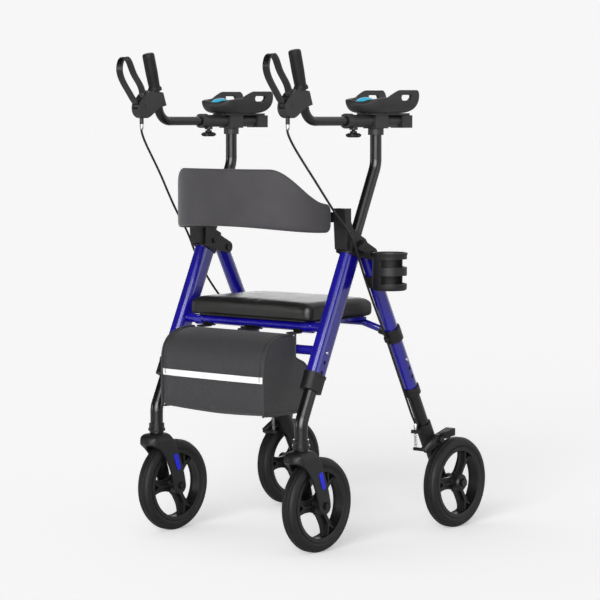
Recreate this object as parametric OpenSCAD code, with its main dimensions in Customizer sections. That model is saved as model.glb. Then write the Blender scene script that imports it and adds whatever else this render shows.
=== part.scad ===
// Upright walking frame on four wheels, with forearm rests, loop brakes, a padded seat,
// a bowed backrest, a bag and a cup holder. Sizes are in millimetres.
// +X is the user's left, -Y is the way the user walks and +Z is up.
// The origin is on the floor, on the middle plane, midway between the two axle lines.

/* [Chassis] */
// Distance between the front and the rear axles
wheelbase = 437.5; // [430:0.5:450]
// Distance from the middle plane to each side frame
side_x = 211; // [206:1:216]
// Distance from the middle plane to the middle of each rear wheel
rear_wheel_x = 247.5; // [246:0.5:252]
// Backward lean of the front legs and uprights
front_lean = 24.7; // [24:0.1:25.5]
// Height at which the front leg turns down into its caster
knee_z = 280; // [276:1:284]
// Height of the hinge of the rear legs
pivot_z = 627; // [622:1:632]
// Fore and aft place of the hinge of the rear legs
pivot_y = -55.5; // [-58:0.5:-52]

/* [Wheels] */
// Outer diameter of all four tyres
wheel_d = 203; // [198:1:206]
// Width of a tyre
wheel_w = 34; // [30:1:34]
// Diameter on which the tyre sits
rim_d = 160; // [154:1:164]
// How far a caster trails behind its stem
caster_trail = 51; // [48:1:54]

/* [Tubes] */
// Width of the flat oval front leg tube
leg_w = 32; // [32:1:34]
// Depth of the flat oval front leg tube
leg_d = 48; // [46:1:50]
// Diameter of the rear leg tube
rear_tube_d = 32; // [32:1:33]
// Diameter of the four leg extensions
lower_leg_d = 28; // [26:0.5:28]
// Diameter of the uprights
upright_d = 25; // [23:0.5:26]
// Diameter of the handle tubes
handle_d = 20; // [19:0.5:21]
// Distance between two height settings
hole_pitch = 22; // [20:1:22]

/* [Seat and backrest] */
// Width of the seat cushion
seat_w = 336; // [320:1:340]
// Depth of the seat cushion
seat_depth = 238; // [230:1:240]
// Height of the underside of the cushion
seat_z = 488; // [487:0.5:490]
// Thickness of the cushion at its edge
seat_h = 30; // [26:1:34]
// Half width of the backrest
back_half_w = 199; // [197:1:200]
// How far the backrest bows forward
back_reach = 150; // [140:1:155]
// Height of the middle of the backrest's top edge
back_top_z = 811; // [800:1:815]
// Thickness of the backrest pad
back_t = 11; // [10:0.5:12]

/* [Arms] */
// Height of the sleeve that carries the forearm rest
sleeve_z = 912; // [908:1:916]
// Height at which the upright turns vertical
bend_z = 818; // [812:1:824]
// Fore and aft place of the bend in the handle tube
handle_bend_y = -252; // [-256:1:-250]
// Forward lean of the handle
handle_lean = 15; // [14:0.5:16]
// Diameter of the hand grip
grip_d = 27; // [26:0.5:29]
// Width of the forearm pad
pad_w = 100; // [92:1:102]

/* [Bag and cup holder] */
// Width of the bag
bag_w = 300; // [280:2:304]
// Outer diameter of the cup holder
cup_d = 74; // [72:1:75]
// Height of the cup holder
cup_h = 81; // [76:1:84]

/* [Hidden] */
$fn = 48;

// Colours of the paint and the mouldings
paint_blue = "#201c8c";
satin_black = "#2a292b";
moulded_black = "#3a393b";
rubber_black = "#262526";
steel_grey = "#9a9ca0";
pad_grey = "#575558";
bag_grey = "#4a484b";
vinyl_black = "#33322f";

// Clearance round a shaft that turns in its bore
run_gap = 0.05;
// Clearance between pieces that slide past each other
slide_gap = 0.3;
// Clearance of a fixed piece in its seat
seat_gap = 0.1;
// Length by which a cutting shape runs past a face
past = 1;

// Places that follow from the driving sizes
wheel_r = wheel_d / 2;
front_axle_y = -wheelbase / 2;
rear_axle_y = wheelbase / 2;
stem_y = front_axle_y - caster_trail;
rear_lean = atan2(rear_axle_y - pivot_y, pivot_z - wheel_r);
rear_len = (pivot_z - wheel_r) / cos(rear_lean);

// Front leg, measured along its axis from the knee
leg_wall = 1.6;
leg_low_s = 80;
leg_top_s = 415;
front_button_s = 158.5;
knob_s = 400;

// Rear leg, measured down its axis from the hinge
rear_wall = 1.5;
rear_top_t = -8;
rear_low_t = 348;
rear_button_t = 268.5;
clip_t = 203;

// Buttons, pins and axles
button_d = 7.6;
pin_d = 8;
axle_d = 12;
settings = 3;

// Cross tubes between the front legs
crossbar_z = 427;
crossbar_d = 20;
hinge_z = 474;
hinge_d = 20;

// Rear stretcher that carries the back of the seat
stretcher_d = 16;
stretcher_y = 12;
stretcher_z = 472;
stretcher_half = 148;

// Backrest posts on the brackets
post_x0 = 195;
post_x1 = 228;
post_y0 = -147;
post_y1 = -126;
post_top_z = 727;
back_end_y = -147.8;
back_roundness = 2.45;
strap_t = 3;
strap_low_z = 697;
strap_h = 22;

// Brake on the rear leg
brake_y = 167;
brake_z = 203;
cable_stop_y = 121;
cable_stop_z = 222;

// Brake lever on the handle
lever_y = -313;
lever_z = 945;
lever_w = 16;

// Knob under the sleeve and the cup on the rear leg
sleeve_knob_y = -98;
cup_x = 285;
cup_y = -66;
cup_z = 552;

// Route of the left brake cable, from the lever down to the rear brake
cable_d = 5;
cable_points = [
    [211, -312, 904.5], [211, -312, 888], [213, -297, 862], [217, -268, 825], [222, -240, 790],
    [228, -212, 753], [234, -182, 715], [239, -154, 684], [241, -131, 652], [240, -112, 614],
    [236, -86, 570], [229, -54, 525], [219, -20, 485], [212, 3, 460], [211, 16, 438],
    [211, 45, 382], [211, 77, 320], [211, 106, 264], [211, 121, 239], [211, 121, 228]
];

function front_s(z) = (z - knee_z) / cos(front_lean);
function front_y(z) = stem_y + (z - knee_z) * tan(front_lean);
function rear_t(z) = (pivot_z - z) / cos(rear_lean);
function rear_y(z) = pivot_y + (pivot_z - z) * tan(rear_lean);
function unit(v) = v / norm(v);

// Points of a curve from a to c that leans towards b
function curve(a, b, c, n = 8) = [
    for (i = [0 : n]) let (t = i / n) a * pow(1 - t, 2) + b * 2 * t * (1 - t) + c * t * t
];

// Point at share t between q and r of a smooth curve through p, q, r and s
function smooth_point(p, q, r, s, t) =
    0.5 * (2 * q + (r - p) * t + (2 * p - 5 * q + 4 * r - s) * t * t + (3 * q - p - 3 * r + s) * t * t * t);

// Smooth open curve through all the points, with n steps between two of them
function smooth_path(pts, n) = [
    for (i = [0 : len(pts) - 2], k = [0 : n - 1])
        smooth_point(pts[max(i - 1, 0)], pts[i], pts[i + 1], pts[min(i + 2, len(pts) - 1)], k / n),
    pts[len(pts) - 1]
];

// Smooth closed curve through all the points
function smooth_loop(pts, n) = let (m = len(pts)) [
    for (i = [0 : m - 1], k = [0 : n - 1])
        smooth_point(pts[(i + m - 1) % m], pts[i], pts[(i + 1) % m], pts[(i + 2) % m], k / n)
];

// Closed curve moved sideways by d
function offset_loop(pts, d) = let (m = len(pts)) [
    for (i = [0 : m - 1]) let (v = unit(pts[(i + 1) % m] - pts[(i + m - 1) % m])) pts[i] + d * [v.y, -v.x]
];

// Point of a bowed plan of half width a and reach b, at angle t from the left end
function bow(a, b, t) = let (e = 2 / back_roundness)
    [a * sign(cos(t)) * pow(abs(cos(t)), e), back_end_y - b * pow(abs(sin(t)), e)];

// 0 before a, 1 after b, and a soft step between them
function soft_step(a, b, x) = let (t = min(max((x - a) / (b - a), 0), 1)) t * t * (3 - 2 * t);

module both_sides() {
    for (m = [0, 1]) mirror([m, 0, 0]) children();
}

module right_side() {
    mirror([1, 0, 0]) children();
}

// Frame on the left front leg: Z runs up the leg and Y to its back
module on_front_leg(s) {
    translate([side_x, stem_y, knee_z]) rotate([-front_lean, 0, 0]) translate([0, 0, s]) children();
}

// Frame on the left rear leg: Z runs down the leg and Y to its front
module on_rear_leg(t) {
    translate([side_x, pivot_y, pivot_z]) rotate([180 + rear_lean, 0, 0]) translate([0, 0, t]) children();
}

// Frame on the left handle: Z runs up the grip
module on_handle(s) {
    translate([side_x, handle_bend_y, sleeve_z]) rotate([handle_lean, 0, 0]) translate([0, 0, s]) children();
}

// Plate from x0 to x1 whose outline is given as Y and Z
module side_plate(x0, x1) {
    translate([x0, 0, 0]) rotate([90, 0, 90]) linear_extrude(x1 - x0) children();
}

// Round bar along X from x0 to x1
module bar_x(x0, x1, d, y, z) {
    translate([x0, y, z]) rotate([0, 90, 0]) cylinder(d = d, h = x1 - x0);
}

// Round bar along Y from y0 to y1
module bar_y(y0, y1, d, x, z) {
    translate([x, y0, z]) rotate([-90, 0, 0]) cylinder(d = d, h = y1 - y0);
}

// Bent bar in a side plane, through angle a, with a fine weld ring at each end
module bend(r, d, a) {
    ring = 0.5;
    ring_h = 2;
    rotate([90, 0, 90]) rotate_extrude(angle = a) translate([r, 0]) circle(d = d);
    for (t = [0, a]) rotate([t, 0, 0]) translate([0, r, -ring_h / 2]) cylinder(d = d + ring, h = ring_h);
}

module stadium(w, d) {
    square([w, d - w], center = true);
    for (s = [-1, 1]) translate([0, s * (d - w) / 2]) circle(d = w);
}

// Tube of d by 8 sides swept along the points of a path
module cable_tube(path, d) {
    sides = 8;
    count = len(path);
    rings = [
        for (i = [0 : count - 1])
            let (t = unit(path[min(i + 1, count - 1)] - path[max(i - 1, 0)]),
                 u = unit(cross(t, [1, 0, 0])),
                 v = cross(t, u))
                for (k = [0 : sides - 1])
                    path[i] + d / 2 * (u * cos(360 * k / sides) + v * sin(360 * k / sides))
    ];
    walls = [
        for (i = [0 : count - 2], k = [0 : sides - 1])
            let (a = i * sides + k, b = i * sides + (k + 1) % sides)
                each [[a, a + sides, b], [b, a + sides, b + sides]]
    ];
    first = [[for (k = [0 : sides - 1]) k]];
    last = [[for (k = [sides - 1 : -1 : 0]) (count - 1) * sides + k]];
    polyhedron(rings, concat(walls, first, last));
}

// Front frame

module front_leg_tubes() {
    length = leg_top_s - leg_low_s;
    color(paint_blue) both_sides() on_front_leg(leg_low_s) difference() {
        linear_extrude(length) stadium(leg_w, leg_d);
        translate([0, 0, -past])
            linear_extrude(length + 2 * past) stadium(leg_w - 2 * leg_wall, leg_d - 2 * leg_wall);
        for (i = [0 : settings - 1])
            translate([leg_w / 4, 0, front_button_s - i * hole_pitch - leg_low_s])
                rotate([0, 90, 0]) cylinder(d = button_d + 2 * slide_gap, h = leg_w / 2);
        translate([-leg_w, 0, knob_s - leg_low_s])
            rotate([0, 90, 0]) cylinder(d = pin_d + 2 * slide_gap, h = 2 * leg_w);
    }
}

module front_cross_tubes() {
    half = side_x - leg_w / 2;
    wall = 1.5;
    color(paint_blue) for (b = [[crossbar_z, crossbar_d], [hinge_z, hinge_d]]) difference() {
        bar_x(-half, half, b[1], front_y(b[0]), b[0]);
        bar_x(-half - past, half + past, b[1] - 2 * wall, front_y(b[0]), b[0]);
    }
}

module front_leg_collars() {
    low_s = 72;
    height = 38;
    wall = 2.6;
    lip_h = 5;
    color(moulded_black) both_sides() difference() {
        union() {
            on_front_leg(low_s) linear_extrude(height) stadium(leg_w + 2 * wall, leg_d + 2 * wall);
            on_front_leg(low_s + height - lip_h)
                linear_extrude(lip_h) stadium(leg_w + 2 * wall + 2, leg_d + 2 * wall + 2);
        }
        on_front_leg(leg_low_s)
            linear_extrude(height) stadium(leg_w + 2 * seat_gap, leg_d + 2 * seat_gap);
        on_front_leg(low_s - past) cylinder(d = lower_leg_d + 2 * slide_gap, h = height);
    }
}

// Outline of a bracket's hinge arm
module bracket_arm() {
    eye_r = 13.5;
    front_y0 = -131;
    polygon([
        [front_y0, 632], [pivot_y - 4, pivot_z - 12.8], [pivot_y + 5.7, pivot_z + 12.2],
        [-120, 674], [front_y0, 674]
    ]);
    translate([pivot_y, pivot_z]) circle(r = eye_r);
}

// Outline of the post that carries the backrest, with the web down to the leg sleeve
module bracket_post() {
    polygon([
        [post_y0 + 6, 640], [post_y1, 634], [front_y(645), 640], [front_y(668), 672],
        [post_y1 + 8, 682], [post_y1, 700], [post_y1, post_top_z], [post_y0, post_top_z]
    ]);
}

module hinge_brackets() {
    low_s = 378;
    cap_s = 425;
    sleeve_wall = 4;
    plate_in = [190, side_x - rear_tube_d / 2 - slide_gap];
    plate_out = [side_x + rear_tube_d / 2 + slide_gap, 233];
    socket_d = 9;
    socket_depth = 30;
    color(moulded_black) both_sides() difference() {
        union() {
            on_front_leg(low_s)
                linear_extrude(cap_s - low_s) stadium(leg_w + 2 * sleeve_wall, leg_d + 2 * sleeve_wall);
            side_plate(post_x0, post_x1) bracket_post();
            side_plate(plate_in[0], plate_in[1]) bracket_arm();
            side_plate(plate_out[0], plate_out[1]) bracket_arm();
        }
        on_front_leg(leg_low_s)
            linear_extrude(leg_top_s - leg_low_s) stadium(leg_w + 2 * seat_gap, leg_d + 2 * seat_gap);
        on_front_leg(knob_s) cylinder(d = upright_d + 2 * slide_gap, h = 2 * socket_depth);
        bar_x(plate_in[0] - past, plate_out[1] + past, pin_d + 2 * seat_gap, pivot_y, pivot_z);
        on_front_leg(knob_s) translate([-leg_w, 0, 0])
            rotate([0, 90, 0]) cylinder(d = pin_d + 2 * run_gap, h = 2 * leg_w);
        for (x = [post_x0 + 9, post_x1 - 9])
            translate([x, (post_y0 + post_y1) / 2, post_top_z - socket_depth])
                cylinder(d = socket_d, h = 2 * socket_depth);
        for (z = back_bolt_z)
            bar_x(post_x0 - past, back_bolt_x1 + 2, back_bolt_d + 2 * seat_gap, back_bolt_y, z);
    }
}

back_bolt_y = -136.5;
back_bolt_z = [702, 714];
back_bolt_d = 5;
back_bolt_x1 = 200;

module frame_bolts() {
    head_h = 3;
    head_d = 14;
    plate_x0 = 190;
    plate_x1 = 233;
    screw_head_d = 12;
    strap_x0 = back_half_w - back_t / 2 - strap_t / 2 - 0.1;
    small_head_d = 9;
    color(steel_grey) both_sides() {
        bar_x(plate_x0, plate_x1, pin_d, pivot_y, pivot_z);
        bar_x(plate_x0 - head_h, plate_x0, head_d, pivot_y, pivot_z);
        bar_x(plate_x1, plate_x1 + head_h, head_d, pivot_y, pivot_z);
        on_front_leg(knob_s) {
            translate([plate_x0 - side_x, 0, 0]) rotate([0, 90, 0]) cylinder(d = pin_d, h = 7);
            translate([plate_x0 - side_x - head_h, 0, 0])
                rotate([0, 90, 0]) cylinder(d = screw_head_d, h = head_h);
        }
        for (z = back_bolt_z) {
            bar_x(strap_x0, back_bolt_x1, back_bolt_d, back_bolt_y, z);
            bar_x(strap_x0 - head_h, strap_x0, small_head_d, back_bolt_y, z);
        }
    }
}

// Backrest

module backrest_bar() {
    steps = 48;
    out_w = back_half_w - back_t / 2 + strap_t / 2 - 0.1;
    out_reach = back_reach - back_t / 2 + strap_t / 2;
    end_y = -128;
    color(steel_grey) difference() {
        translate([0, 0, strap_low_z]) linear_extrude(strap_h) polygon(concat(
            [[out_w, end_y]],
            [for (i = [0 : steps]) bow(out_w, out_reach, 180 * i / steps)],
            [[-out_w, end_y], [strap_t - out_w, end_y]],
            [for (i = [steps : -1 : 0]) bow(out_w - strap_t, out_reach - strap_t, 180 * i / steps)],
            [[out_w - strap_t, end_y]]
        ));
        both_sides() for (z = back_bolt_z)
            bar_x(out_w - 2 * strap_t, out_w + strap_t, back_bolt_d + 2 * seat_gap, back_bolt_y, z);
    }
}

// Rounded band that follows the bow, low at its ends and tall in the middle
module backrest_pad() {
    stations = 40;
    end_angle = 1.2;
    end_top_z = 737;
    end_low_z = 675;
    rise = 13;
    knee = [4, 55];
    // Share of the height and of the thickness at each corner of the section
    section = [
        [0, 0.3], [0.03, 0.75], [0.1, 1], [0.9, 1], [0.97, 0.75], [1, 0.3],
        [1, -0.3], [0.97, -0.75], [0.9, -1], [0.1, -1], [0.03, -0.75], [0, -0.3]
    ];
    m = len(section);
    pts = [
        for (i = [0 : stations])
            let (t = end_angle + (180 - 2 * end_angle) * i / stations,
                 p = bow(back_half_w - back_t / 2, back_reach - back_t / 2, t),
                 q = bow(back_half_w, back_reach, t),
                 side = min(t, 180 - t),
                 low = end_low_z + rise * pow(sin(t), 2),
                 top = end_top_z + (back_top_z - end_top_z) * soft_step(knee[0], knee[1], side),
                 out = q - p)
                for (s = section)
                    [p.x + out.x * s[1], p.y + out.y * s[1], low + (top - low) * s[0]]
    ];
    walls = [
        for (i = [0 : stations - 1], k = [0 : m - 1])
            let (a = i * m + k, b = i * m + (k + 1) % m)
                each [[a, b, a + m], [b, b + m, a + m]]
    ];
    first = [[for (k = [m - 1 : -1 : 0]) k]];
    last = [[for (k = [0 : m - 1]) stations * m + k]];
    color(pad_grey) polyhedron(pts, concat(walls, first, last));
}

// Bag and its hooks

module bag() {
    back_y = front_y(crossbar_z) - crossbar_d / 2 - 3;
    front_face_y = -317;
    top_z = 461;
    low_z = 293;
    rear_y0 = -170;
    outline = concat(
        curve([front_face_y, low_z + 100], [front_face_y, top_z - 4], [front_face_y + 75, top_z - 1], 10),
        [[back_y - 2, top_z]],
        curve([back_y, top_z - 4], [back_y, crossbar_z - 8], [back_y, crossbar_z - 16], 2),
        curve([back_y + 14, crossbar_z - 24], [rear_y0 - 2, crossbar_z - 34], [rear_y0, low_z + 74], 6),
        curve([rear_y0, low_z + 60], [rear_y0 - 4, low_z + 16], [rear_y0 - 28, low_z], 6),
        [[front_face_y + 8, low_z], [front_face_y, low_z + 8]]
    );
    color(bag_grey) side_plate(-bag_w / 2, bag_w / 2) polygon(outline);
}

// Clips on the hinge tube that hold the bag, open at the top and clear of the seat in front
module bag_hooks() {
    wall = 3.4;
    strap = [26, 3.4];
    strap_y0 = -32;
    front_cut = [2, 4.5];
    tube_y = front_y(hinge_z);
    low_z = hinge_z - hinge_d / 2 - wall;
    hooks = [[-142, 22], [-20, 40], [120, 22]];
    color(moulded_black) for (h = hooks) difference() {
        union() {
            bar_x(h[0], h[0] + h[1], hinge_d + 2 * wall, tube_y, hinge_z);
            translate([h[0], tube_y + strap_y0, low_z - 1.2]) cube([h[1], strap.x, strap.y]);
        }
        bar_x(h[0] - past, h[0] + h[1] + past, hinge_d + 2 * seat_gap, tube_y, hinge_z);
        translate([h[0] - past, tube_y - hinge_d, hinge_z + hinge_d / 2 - 2])
            cube([h[1] + 2 * past, 2 * hinge_d, hinge_d]);
        translate([h[0] - past, tube_y - front_cut.x - hinge_d, hinge_z - front_cut.y])
            cube([h[1] + 2 * past, hinge_d, 2 * hinge_d]);
    }
}

module brake_cables() {
    steps = 2;
    color(rubber_black) both_sides() cable_tube(smooth_path(cable_points, steps), cable_d);
}

// Front legs and casters

module front_lower_leg() {
    top_s = 185;
    bend_r = 50;
    bore_d = lower_leg_d - 3.6;
    start_s = bend_r * tan(front_lean / 2);
    foot_z = 226.3;
    cup_top_z = 246;
    cup_w = 34;
    lip_w = 38;
    lip_h = 6;
    stem_top_z = 263;
    color(satin_black) difference() {
        union() {
            on_front_leg(start_s) cylinder(d = lower_leg_d, h = top_s - start_s);
            translate([side_x, stem_y + bend_r, knee_z - start_s])
                rotate([180 - front_lean, 0, 0]) bend(bend_r, lower_leg_d, front_lean);
            translate([side_x, stem_y, foot_z]) cylinder(d = lower_leg_d, h = knee_z - start_s - foot_z);
            translate([side_x, stem_y, foot_z]) cylinder(d = cup_w, h = cup_top_z - foot_z);
            translate([side_x, stem_y, foot_z + 2]) cylinder(d = lip_w, h = lip_h);
        }
        on_front_leg(start_s + 20) cylinder(d = bore_d, h = top_s);
        on_front_leg(front_button_s) rotate([0, 90, 0]) cylinder(d = button_d + 2 * run_gap, h = lower_leg_d);
        translate([side_x, stem_y, foot_z - past])
            cylinder(d = axle_d + 2 * run_gap, h = stem_top_z - foot_z + past);
    }
}

// Spring button: a domed pin with a flange behind the wall of the leg
module spring_button(wall_x) {
    reach = 2.2;
    flange_d = 11;
    flange_h = 2.5;
    flange_x = 5;
    rotate([0, 90, 0]) {
        translate([0, 0, flange_x]) cylinder(d = flange_d, h = flange_h);
        translate([0, 0, flange_x]) cylinder(d = button_d, h = wall_x + reach - 1 - flange_x);
        translate([0, 0, wall_x + reach - 1]) cylinder(d1 = button_d, d2 = button_d - 2, h = 1);
    }
}

module front_leg_button() {
    color(steel_grey) on_front_leg(front_button_s) spring_button(leg_w / 2);
}

// Outline of a fork blade, from the crown down to the axle
module fork_blade() {
    n = 10;
    line = curve([stem_y + 13, 205], [front_axle_y - 8, 178], [front_axle_y, wheel_r], n);
    half = [for (i = [0 : n]) 20 - 7 * i / n];
    sides = [for (i = [0 : n]) let (v = unit(line[min(i + 1, n)] - line[max(i - 1, 0)])) [v.y, -v.x]];
    polygon(concat(
        [for (i = [0 : n]) line[i] + half[i] * sides[i]],
        [for (i = [n : -1 : 0]) line[i] - half[i] * sides[i]]
    ));
    translate([front_axle_y, wheel_r]) circle(r = half[n] + 0.5);
    translate(line[0]) circle(r = half[0]);
}

module caster_fork() {
    gap = wheel_w / 2 + 4;
    blade_t = 6;
    crown_r = 35;
    crown_z = 194;
    top_z = 223;
    crown_y = stem_y + 12;
    washer_d = 30;
    washer_h = 3;
    stem_top_z = 262;
    trim_y = front_axle_y - 14;
    trim_z = 160;
    trim_depth = 1;
    trim_tilt = 17;
    color(moulded_black) difference() {
        union() {
            for (s = [-1, 1])
                translate([side_x + s * (gap + blade_t / 2) - blade_t / 2, 0, 0])
                    side_plate(0, blade_t) fork_blade();
            intersection() {
                translate([side_x, crown_y, crown_z]) sphere(r = crown_r);
                translate([side_x - crown_r, crown_y - crown_r, crown_z - 22])
                    cube([2 * crown_r, 2 * crown_r, top_z - crown_z + 22]);
            }
            translate([side_x, stem_y, top_z - past]) cylinder(d = washer_d, h = washer_h + past);
            translate([side_x, stem_y, top_z]) cylinder(d = axle_d, h = stem_top_z - top_z);
        }
        bar_x(side_x - gap, side_x + gap, wheel_d + 9, front_axle_y, wheel_r);
        bar_x(side_x - 2 * gap, side_x + 2 * gap, axle_d + 2 * seat_gap, front_axle_y, wheel_r);
        for (s = [-1, 1])
            translate([side_x + s * (gap + blade_t), trim_y, trim_z]) rotate([trim_tilt, 0, 0]) rotate([90, 0, 90])
                linear_extrude(2 * trim_depth, center = true) stadium(11, 40);
    }
}

module front_axle() {
    half = wheel_w / 2 + 10.5;
    head_h = 4;
    head_d = 16;
    color(steel_grey) {
        bar_x(side_x - half, side_x + half, axle_d, front_axle_y, wheel_r);
        for (s = [-1, 1])
            bar_x(side_x + s * half + (s < 0 ? -head_h : -0.2), side_x + s * half + (s < 0 ? 0.2 : head_h),
                head_d, front_axle_y, wheel_r);
    }
}

// Wheel, round the Z axis

// Half width of a broad spoke at radius r
function spoke_half(r) = 13 + 12 * pow(max(r - 38, 0) / 36, 2) + 4 * pow(max(26 - r, 0) / 14, 2);

module wheel_rim(cap_h) {
    hub_w = wheel_w + 4;
    hub_d = 38;
    cap_d = 30;
    ring_w = wheel_w - 6;
    ring_in = rim_d / 2 - 9;
    spoke_t = 8;
    rib_t = 4;
    rib_h = 22;
    fork_r = 52;
    spokes = 3;
    step = 6;
    difference() {
        union() {
            cylinder(d = hub_d, h = hub_w, center = true);
            translate([0, 0, hub_w / 2 - past]) cylinder(d1 = hub_d, d2 = cap_d, h = cap_h + past);
            rotate_extrude() polygon([
                [ring_in, -ring_w / 2], [rim_d / 2, -ring_w / 2 - 1], [rim_d / 2, ring_w / 2 + 1],
                [ring_in, ring_w / 2], [ring_in + 2, ring_w / 2 - 6], [ring_in + 2, -ring_w / 2 + 6]
            ]);
            for (i = [0 : spokes - 1]) rotate([0, 0, 30 + 120 * i]) {
                linear_extrude(spoke_t, center = true) intersection() {
                    polygon(concat(
                        [for (r = [12 : step : 78]) [r, spoke_half(r)]],
                        [for (r = [78 : -step : 12]) [r, -spoke_half(r)]]
                    ));
                    circle(d = rim_d - 4);
                }
                translate([fork_r / 2 + 4, 0, 0]) cube([fork_r - 8, rib_t, rib_h], center = true);
                for (s = [-1, 1]) translate([fork_r, 0, 0]) rotate([0, 0, s * 32])
                    translate([11, 0, 0]) cube([26, rib_t, rib_h], center = true);
            }
        }
        cylinder(d = axle_d + 2 * run_gap, h = 2 * hub_w + 4 * cap_h, center = true);
    }
}

module wheel_tyre() {
    seat_r = rim_d / 2 + seat_gap;
    half = wheel_w / 2;
    bead = half - 3.5;
    groove = 1.3;
    rotate_extrude($fn = 96) polygon(concat(
        [[seat_r, -bead]],
        curve([seat_r + 6, -half], [wheel_r - 2, -half], [wheel_r - 1.2, -half + 10], 5),
        [[wheel_r, -6.5], [wheel_r - groove, -5.5], [wheel_r, -4.5],
         [wheel_r, 4.5], [wheel_r - groove, 5.5], [wheel_r, 6.5]],
        curve([wheel_r - 1.2, half - 10], [wheel_r - 2, half], [seat_r + 6, half], 5),
        [[seat_r, bead]]
    ));
}

// Turns a wheel shape so that its outer face looks to +X
module at_wheel(x, y) {
    translate([x, y, wheel_r]) rotate([0, 90, 0]) children();
}

module front_rim() {
    color(satin_black) at_wheel(side_x, front_axle_y) wheel_rim(0.5);
}

module front_tyre() {
    color(rubber_black) at_wheel(side_x, front_axle_y) wheel_tyre();
}

module rear_rim() {
    color(satin_black) at_wheel(rear_wheel_x, rear_axle_y) wheel_rim(4);
}

module rear_tyre() {
    color(rubber_black) at_wheel(rear_wheel_x, rear_axle_y) wheel_tyre();
}

// Rear frame

module rear_leg_tubes() {
    plug_t = 20;
    color(paint_blue) both_sides() difference() {
        on_rear_leg(rear_top_t) cylinder(d = rear_tube_d, h = rear_low_t - rear_top_t);
        on_rear_leg(plug_t) cylinder(d = rear_tube_d - 2 * rear_wall, h = rear_low_t);
        bar_x(side_x - rear_tube_d, side_x + rear_tube_d, pin_d + 2 * run_gap, pivot_y, pivot_z);
        for (i = [0 : settings - 1]) on_rear_leg(rear_button_t + i * hole_pitch)
            rotate([0, 90, 0]) cylinder(d = button_d + 2 * slide_gap, h = rear_tube_d);
    }
}

// Middle of the rear leg where the stretcher meets it, and the way the stretcher's arm points
leg_point = [side_x, rear_y(pivot_z - clip_t * cos(rear_lean)), pivot_z - clip_t * cos(rear_lean)];
arm_start = [stretcher_half, stretcher_y, stretcher_z];
arm_dir = unit(leg_point - arm_start);
arm_len = norm(leg_point - arm_start);

// Frame on the stretcher's left arm: Z runs down to the leg
module on_arm(s) {
    tilt = acos(arm_dir.z);
    turn = atan2(arm_dir.y, arm_dir.x);
    translate(arm_start) rotate([0, tilt, turn]) translate([0, 0, s]) children();
}

module rear_stretcher() {
    stop = rear_tube_d / 2 + 7;
    color(paint_blue) {
        bar_x(-stretcher_half, stretcher_half, stretcher_d, stretcher_y, stretcher_z);
        both_sides() {
            translate(arm_start) sphere(d = stretcher_d);
            on_arm(0) cylinder(d = stretcher_d, h = arm_len - stop);
        }
    }
}

module rear_collars() {
    clip_h = 30;
    clip_wall = 4.4;
    boss_d = stretcher_d + 6;
    boss_reach = rear_tube_d / 2 + 14;
    low_t = 340;
    low_h = 19;
    low_wall = 3.2;
    loop_d = 11;
    loop_y = 24;
    color(moulded_black) both_sides() {
        difference() {
            union() {
                on_rear_leg(clip_t - clip_h / 2) cylinder(d = rear_tube_d + 2 * clip_wall, h = clip_h);
                on_arm(arm_len - boss_reach) cylinder(d = boss_d, h = boss_reach);
                on_rear_leg(clip_t - 5) translate([0, loop_y, 0]) cylinder(d = loop_d, h = 10);
            }
            on_rear_leg(clip_t - 2 * clip_h) cylinder(d = rear_tube_d + 2 * seat_gap, h = 4 * clip_h);
            on_arm(0) cylinder(d = stretcher_d + 2 * seat_gap, h = arm_len - rear_tube_d / 2 - 7);
            on_rear_leg(clip_t - 2 * clip_h)
                translate([0, loop_y, 0]) cylinder(d = cable_d + 1.4, h = 4 * clip_h);
        }
        difference() {
            on_rear_leg(low_t) cylinder(d = rear_tube_d + 2 * low_wall, h = low_h);
            on_rear_leg(low_t - past) cylinder(d = rear_tube_d + 2 * seat_gap, h = rear_low_t - low_t + past);
            on_rear_leg(low_t) cylinder(d = lower_leg_d + 2 * slide_gap, h = 2 * low_h);
        }
    }
}

// Cup holder on the left rear leg

cup_clamp_t = 62;
cup_arm_z = cup_z + 14;

module cup_clamp() {
    ring_h = 26;
    ring_wall = 4.5;
    arm_y0 = -52;
    arm_y1 = -30;
    arm_h = 22;
    arm_x1 = cup_x - cup_d / 2 + 4;
    color(moulded_black) difference() {
        union() {
            on_rear_leg(cup_clamp_t - ring_h / 2) cylinder(d = rear_tube_d + 2 * ring_wall, h = ring_h);
            translate([side_x + rear_tube_d / 2, arm_y0, cup_arm_z])
                cube([arm_x1 - side_x - rear_tube_d / 2, arm_y1 - arm_y0, arm_h]);
        }
        on_rear_leg(0) cylinder(d = rear_tube_d + 2 * seat_gap, h = 4 * ring_h + cup_clamp_t);
        translate([cup_x, cup_y, cup_z - past]) cylinder(d = cup_d + 2 * seat_gap, h = cup_h);
    }
}

module cup_holder() {
    wall = 3;
    floor_t = 3;
    body_r = cup_d / 2;
    rim_r = body_r + 1.2;
    window = [26, 17];
    window_z = [24.5, 56.5];
    windows = [-110, -55, 0];
    turn = 30;
    drain_d = 24;
    color(moulded_black) translate([cup_x, cup_y, cup_z]) difference() {
        rotate_extrude() polygon([
            [0, 0], [body_r - 4, 0], [body_r, 5], [body_r, cup_h - 7], [rim_r, cup_h - 4],
            [rim_r, cup_h], [body_r - wall, cup_h], [body_r - wall, floor_t], [0, floor_t]
        ]);
        for (z = window_z, a = windows) rotate([0, 0, turn + a])
            translate([body_r - 2 * wall, 0, z]) rotate([90, 0, 90])
                linear_extrude(4 * wall) rotate(90) stadium(window.y, window.x);
        translate([0, 0, -past]) cylinder(d = drain_d, h = 2 * floor_t);
    }
}

// Rear leg extension and its brake

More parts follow.
